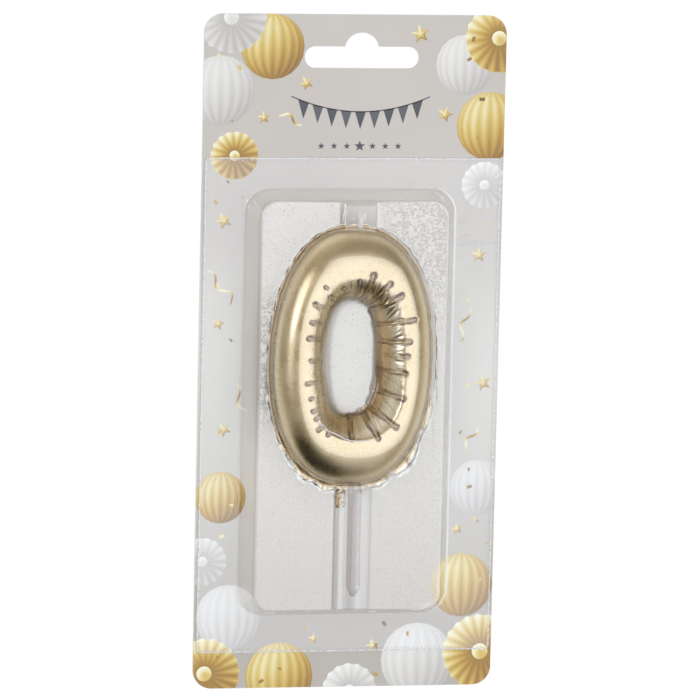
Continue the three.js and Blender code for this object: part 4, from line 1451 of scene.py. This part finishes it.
CORNER_GLINTS = [
    ([(247, 200), (247, 202.5)], 5.2, 0.3), ([(249.5, 205.5), (248.5, 208.5)], 4.6, 0.2),
    ([(252.5, 198.5), (257, 206), (262, 214.5)], 6.4, 0.09),
    ([(434.5, 191.5), (438.5, 194), (441.5, 197.5), (444, 201.5), (446.5, 205.5)], 7.2, 0.16),
    ([(430, 202), (436, 203), (441, 205), (446.5, 208.5)], 10.4, 0.12),
    ([(408, 610), (418, 609.5), (424, 608), (428, 604.5), (434.5, 601)], 5.5, 0.2),
    ([(419, 605.5), (426, 605), (428, 602)], 8.0, 0.14),
    ([(259, 610), (266, 612.5), (276, 613.5)], 7.0, 0.12),
]
FLANGE_SCUFFS = [
    ([(459.5, 223.5), (465.5, 223)], 0.92, 0.12), ([(461.5, 236.5), (466, 236), (472, 235)], 0.92, 0.1),
    ([(455.5, 241.5), (468, 241.5), (479.5, 240.5)], 0.92, 0.09),
    ([(456.5, 245), (475, 244.5), (497.5, 243)], 0.92, 0.1),
    ([(464.5, 271), (473.5, 268.5), (483, 271)], 0.92, 0.06), ([(206.5, 202.5), (208, 204)], 0.92, 0.2),
]
CHANNEL_GLINTS = [
    ([(353, 211.5), (353.5, 213.5)], 12.6, 0.26), ([(350.5, 217.5), (355, 219.5)], 12.6, 0.12),
    ([(362.5, 216.5), (362.5, 219), (363, 222.5)], 12.6, 0.26),
    ([(366.5, 211.5), (365, 214), (365, 218), (366, 222.5)], 12.6, 0.22),
    ([(344.5, 204), (345, 210), (343.5, 216), (343, 221.5)], 12.4, 0.16),
    ([(355.5, 587.5), (358.5, 587.5)], 12.6, 0.2), ([(368.5, 611.5), (376, 611.5)], 10.4, 0.14),
]
CREST_HIGHLIGHT = [
    ([(314, 414), (320, 418), (318.5, 422), (320.5, 425), (324, 425.5), (326, 428), (328, 431), (332, 432.5),
      (336.5, 434.5), (340.5, 436.5), (344.5, 439), (348.5, 440), (353.5, 441), (358.5, 441.5), (363.5, 441),
      (369, 440.5), (373, 440)], film_high[2] - 0.3, 0.15),
]
WRINKLE_SIDES = 6
STEPS_PER_PIXEL_PAIR = 6


def make_glints_and_scuffs():
    """Raised white marks round the bubble, the corners, the channels and the flange: painted glints and
    highlights where the sheet catches the light, and scuffs on the flange.
    """
    points, faces = [], []
    for line, level, half_width in CORNER_GLINTS + FLANGE_SCUFFS + CHANNEL_GLINTS + CREST_HIGHLIGHT:
        line = [at_pixel(across, down, level) for across, down in line]
        steps = STEPS_PER_PIXEL_PAIR * (len(line) - 1)
        at = np.linspace(0, len(line) - 1, steps + 1)
        path = np.stack([np.interp(at, range(len(line)), places) for places in zip(*line)], -1)
        for axis in (0, 1):
            path[1:-1, axis] = (path[:-2, axis] + 2 * path[1:-1, axis] + path[2:, axis]) / 4
        along = np.gradient(path, axis=0)
        along /= np.linalg.norm(along, axis=1, keepdims=True)
        rings = []
        for step, ((x, y), (dx, dy)) in enumerate(zip(path, along)):
            half = half_width * (0.2 + 0.8 * math.sin(math.pi * min(max(step / steps, 0.04), 0.96)) ** 0.5)
            turns = [2 * math.pi * side / WRINKLE_SIDES for side in range(WRINKLE_SIDES)]
            rings.append([(x - dy * half * math.cos(turn), y + dx * half * math.cos(turn),
                           level + 0.5 * half * math.sin(turn)) for turn in turns])
        add_tube(points, faces, rings)
    glints_and_scuffs = make_piece("film_glints_and_scuffs", points, faces, [pet_edge_and_glints])
    recalculate(glints_and_scuffs)
    finish_piece(glints_and_scuffs, "blister", "clear_film")


make_glints_and_scuffs()


# Pips of the heat seal and confetti, by geometry nodes

PIP_PITCH = 1.15
PIP_INSET = 0.85
PIP_RADIUS = 0.17
PIP_RISE = 0.1


def new_tree(name, inputs):
    """A geometry tree with named float inputs, and what its entry gives out."""
    tree = bpy.data.node_groups.new(name, "GeometryNodeTree")
    tree.interface.new_socket("Geometry", in_out="INPUT", socket_type="NodeSocketGeometry")
    for label in inputs:
        tree.interface.new_socket(label, in_out="INPUT", socket_type="NodeSocketFloat")
    tree.interface.new_socket("Geometry", in_out="OUTPUT", socket_type="NodeSocketGeometry")
    return tree, add_node(tree, "NodeGroupInput").outputs


def run_tree(piece, tree, instances, material, values):
    """Closes a geometry tree with its instances made real in a material, runs it on a piece with its
    inputs set, and keeps the result as a plain mesh."""
    real = add_node(tree, "GeometryNodeRealizeInstances", {"Geometry": instances})
    painted = add_node(tree, "GeometryNodeSetMaterial", {"Geometry": real, "Material": material})
    add_node(tree, "NodeGroupOutput", {"Geometry": painted})
    modifier = piece.modifiers.new("nodes", "NODES")
    modifier.node_group = tree
    for item in tree.interface.items_tree:
        if item.in_out == "INPUT" and item.name in values:
            modifier[item.identifier] = values[item.name]
    flatten_modifiers(piece)


def make_seal_pips():
    """Rows of small pips that the sealing bar presses along the flange's upper and lower edges."""
    tree, entry = new_tree("seal_pips", ["Radius", "Rise"])
    pip = add_node(tree, "GeometryNodeMeshUVSphere", {"Segments": 8, "Rings": 6, "Radius": entry["Radius"]})
    squash = add_node(tree, "ShaderNodeMath", {0: entry["Rise"], 1: entry["Radius"]}, operation="DIVIDE")
    shape = add_node(tree, "ShaderNodeCombineXYZ", {"X": 1, "Y": 1, "Z": squash})
    placed = add_node(tree, "GeometryNodeInstanceOnPoints",
                      {"Points": entry["Geometry"], "Instance": pip, "Scale": shape})
    half = film_high[0] - FLANGE_CORNER_RADIUS
    spots = [(PIP_PITCH * (i + 0.5) - half, y, flange_level)
             for y in (film_high[1] - PIP_INSET, film_low[1] + PIP_INSET)
             for i in range(int(2 * half / PIP_PITCH))]
    # The pips are crazed white: painted highlights where the clear pips catch the light
    pips = make_piece("seal_pips", spots, [], [pet_edge_and_glints])
    run_tree(pips, tree, placed, pet_edge_and_glints, {"Radius": PIP_RADIUS * MM, "Rise": PIP_RISE * MM})
    finish_piece(pips, "blister", "clear_film")


FLAKE_SEED = 11
FLAKES_PER_CM2 = 0.85
CM2_PER_M2 = 10000
FLAKE_LENGTH = 1.5
FLAKE_SHAPE = 0.6
FLAKE_LAYER = 4
CONFETTI_SIDE_MARGIN = 1.2
CONFETTI_END_MARGIN = 6
CAVITY_MARGIN = 1.5


def make_confetti():
    """Cut gold confetti printed all round the card's border, densest along its sides."""
    tree, entry = new_tree("confetti", ["Density", "Length", "Thickness"])
    scattered = add_node(tree, "GeometryNodeDistributePointsOnFaces", {
        "Mesh": entry["Geometry"], "Density": entry["Density"], "Seed": FLAKE_SEED,
    })
    width = add_node(tree, "ShaderNodeMath", {0: entry["Length"], 1: FLAKE_SHAPE}, operation="MULTIPLY")
    size = add_node(tree, "ShaderNodeCombineXYZ", {"X": entry["Length"], "Y": width, "Z": entry["Thickness"]})
    flake = add_node(tree, "GeometryNodeMeshCube", {"Size": size})
    spin, share, shade = (
        add_node(tree, "FunctionNodeRandomValue", {"Min": low, "Max": high, "Seed": FLAKE_SEED + draw},
                 data_type="FLOAT").outputs[1]
        for draw, low, high in ((1, 0, 2 * math.pi), (2, 0.45, 1), (3, 0, 0.75)))
    turn = add_node(tree, "ShaderNodeCombineXYZ", {"Z": spin})
    scale = add_node(tree, "ShaderNodeCombineXYZ", {"X": share, "Y": share, "Z": 1})
    placed = add_node(tree, "GeometryNodeInstanceOnPoints", {
        "Points": scattered, "Instance": flake, "Rotation": turn, "Scale": scale,
    })
    toned = add_node(tree, "GeometryNodeStoreNamedAttribute",
                     {"Geometry": placed, "Name": "tone", "Value": shade},
                     data_type="FLOAT", domain="INSTANCE")
    level = card_level + INK_LIFT + FLAKE_LAYER * INK_LAYER
    inner_left, inner_right = cavity_left - CAVITY_MARGIN, cavity_right + CAVITY_MARGIN
    low, high = card_low[1] + CONFETTI_END_MARGIN, card_high[1] - CONFETTI_END_MARGIN
    strips = [(card_low[0] + CONFETTI_SIDE_MARGIN, inner_left, low, high),
              (inner_right, card_high[0] - CONFETTI_SIDE_MARGIN, low, high),
              (inner_left, inner_right, card_low[1] + 1.5, cavity_bottom - 3)]
    corners = [(x, y, level) for left, right, bottom, top in strips
               for x, y in ((left, bottom), (right, bottom), (right, top), (left, top))]
    confetti = make_piece("confetti_print", corners, [[0, 1, 2, 3], [4, 5, 6, 7], [8, 9, 10, 11]], [gold_ink])
    run_tree(confetti, tree, toned, gold_ink, {
        "Density": FLAKES_PER_CM2 * CM2_PER_M2, "Length": FLAKE_LENGTH * MM, "Thickness": INK_THICKNESS * MM,
    })
    finish_piece(confetti, "card", "printed_card")


make_seal_pips()
make_confetti()


# Floor, lamps and world

def white_table(tree):
    """A matt white table top. It keeps the pack's shadow and is white to the camera and in
    reflections."""
    path = add_node(tree, "ShaderNodeLightPath").outputs
    seen = add_node(tree, "ShaderNodeMath", {0: path["Is Camera Ray"], 1: path["Is Glossy Ray"]},
                    operation="ADD")
    seen = add_node(tree, "ShaderNodeMath", {0: seen, 1: path["Is Transmission Ray"]},
                    operation="ADD", use_clamp=True)
    own = add_node(tree, "ShaderNodeBsdfDiffuse", {"Color": linear("#b4b4b4")})
    full = add_node(tree, "ShaderNodeBsdfDiffuse", {"Color": linear("#ececec")})
    glow = add_node(tree, "ShaderNodeEmission", {"Color": linear("#ffffff"), "Strength": 0.6})
    lit = add_node(tree, "ShaderNodeAddShader", {0: own, 1: glow})
    return add_node(tree, "ShaderNodeMixShader", {0: seen, 1: full, 2: lit})


TABLE_HALF = 3000
TABLE_GAP = 0.05


def make_floor():
    """The table top that the pack lies on, far wider than the picture."""
    z = card_low[2] - TABLE_GAP
    corners = [(TABLE_HALF * x, TABLE_HALF * y, z) for x, y in ((-1, -1), (1, -1), (1, 1), (-1, 1))]
    floor = make_piece("table", corners, [[0, 1, 2, 3]], [make_material("white_table", white_table)],
                       smooth=False)


SOFTBOX_COLOUR = "#e2edff"
SOFTBOX_RIGHT = 21
SOFTBOX_UP = -2
SOFTBOX_DISTANCE = 3
SOFTBOX_WIDTH = 3.4
SOFTBOX_HEIGHT = 3.8
SOFTBOX_STRENGTH = 1.72


def make_softbox():
    """A softbox facing the pack, tilted from the vertical by degrees to the right and to the top, its
    sizes in metres."""
    lamp = bpy.data.lights.new("softbox_above", "AREA")
    lamp.shape = "RECTANGLE"
    lamp.size = SOFTBOX_WIDTH
    lamp.size_y = SOFTBOX_HEIGHT
    lamp.energy = SOFTBOX_STRENGTH * math.pi * SOFTBOX_WIDTH * SOFTBOX_HEIGHT
    lamp.color = linear(SOFTBOX_COLOUR)[:3]
    right, up = (math.tan(math.radians(tilt)) for tilt in (SOFTBOX_RIGHT, SOFTBOX_UP))
    direction = Vector((right, up, 1)).normalized()
    turn = direction.to_track_quat("Z", "Y").to_matrix().to_4x4()
    softbox = bpy.data.objects.new("softbox_above", lamp)
    softbox.matrix_world = Matrix.Translation(direction * SOFTBOX_DISTANCE) @ turn
    softbox.visible_camera = False
    bpy.context.collection.objects.link(softbox)


# Shades of the studio from the horizon up, and its soft patches: turn from the right, tilt from the
# vertical, core and edge in degrees, brightness and colour
STUDIO_SHADES = [(0, "#f8f8f8"), (0.12, "#f2f2f1"), (0.35, "#beb9b0"), (0.7, "#b3ada2"), (1, "#bdb8af")]
PATCHES = [
    (283, 43, 8, 26, 2.1, "#e6efff"), (249, 67, 23, 37, 0.03, "#ffffff"), (279, 84, 14, 32, 0.85, "#ffffff"),
    (164, 45, 7, 18, 7.8, "#e6efff"), (187, 44, 5, 14, 2.4, "#e6efff"), (182, 88, 8, 17, 0.5, "#ffffff"),
    (32, 86, 16, 36, 0.6, "#ffffff"), (112, 76, 14, 34, 1.35, "#ffffff"),
]


def make_world():
    """A plain studio: pale round the horizon, dimmer above, with a few bright and dark patches."""
    world = bpy.data.worlds.new("studio")
    bpy.context.scene.world = world
    world.use_nodes = True
    tree = world.node_tree
    tree.nodes.clear()
    place = add_node(tree, "ShaderNodeTexCoord").outputs["Generated"]
    height = add_node(tree, "ShaderNodeSeparateXYZ", {"Vector": place}).outputs["Z"]
    shade = add_node(tree, "ShaderNodeValToRGB", {"Fac": height}, STUDIO_SHADES)
    for *angles, level, colour in PATCHES:
        turn, tilt, core, reach = (math.radians(v) for v in angles)
        away = Vector((math.sin(tilt) * math.cos(turn), math.sin(tilt) * math.sin(turn), math.cos(tilt)))
        near = add_node(tree, "ShaderNodeVectorMath", {0: place, 1: away},
                        operation="DOT_PRODUCT").outputs["Value"]
        parts = {name: add_node(tree, "ShaderNodeMapRange", {
            "Value": near, "From Min": math.cos(reach), "From Max": math.cos(core), "To Min": 1,
            "To Max": level * part,
        }) for name, part in zip(("Red", "Green", "Blue"), linear(colour))}
        patch = add_node(tree, "ShaderNodeCombineColor", parts)
        shade = add_node(tree, "ShaderNodeMix", {0: 1, 6: shade, 7: patch},
                         data_type="RGBA", blend_type="MULTIPLY").outputs[2]
    background = add_node(tree, "ShaderNodeBackground", {"Color": shade})
    add_node(tree, "ShaderNodeOutputWorld", {"Surface": background})


make_floor()
make_softbox()
make_world()

bpy.context.scene.view_settings.view_transform = "Standard"
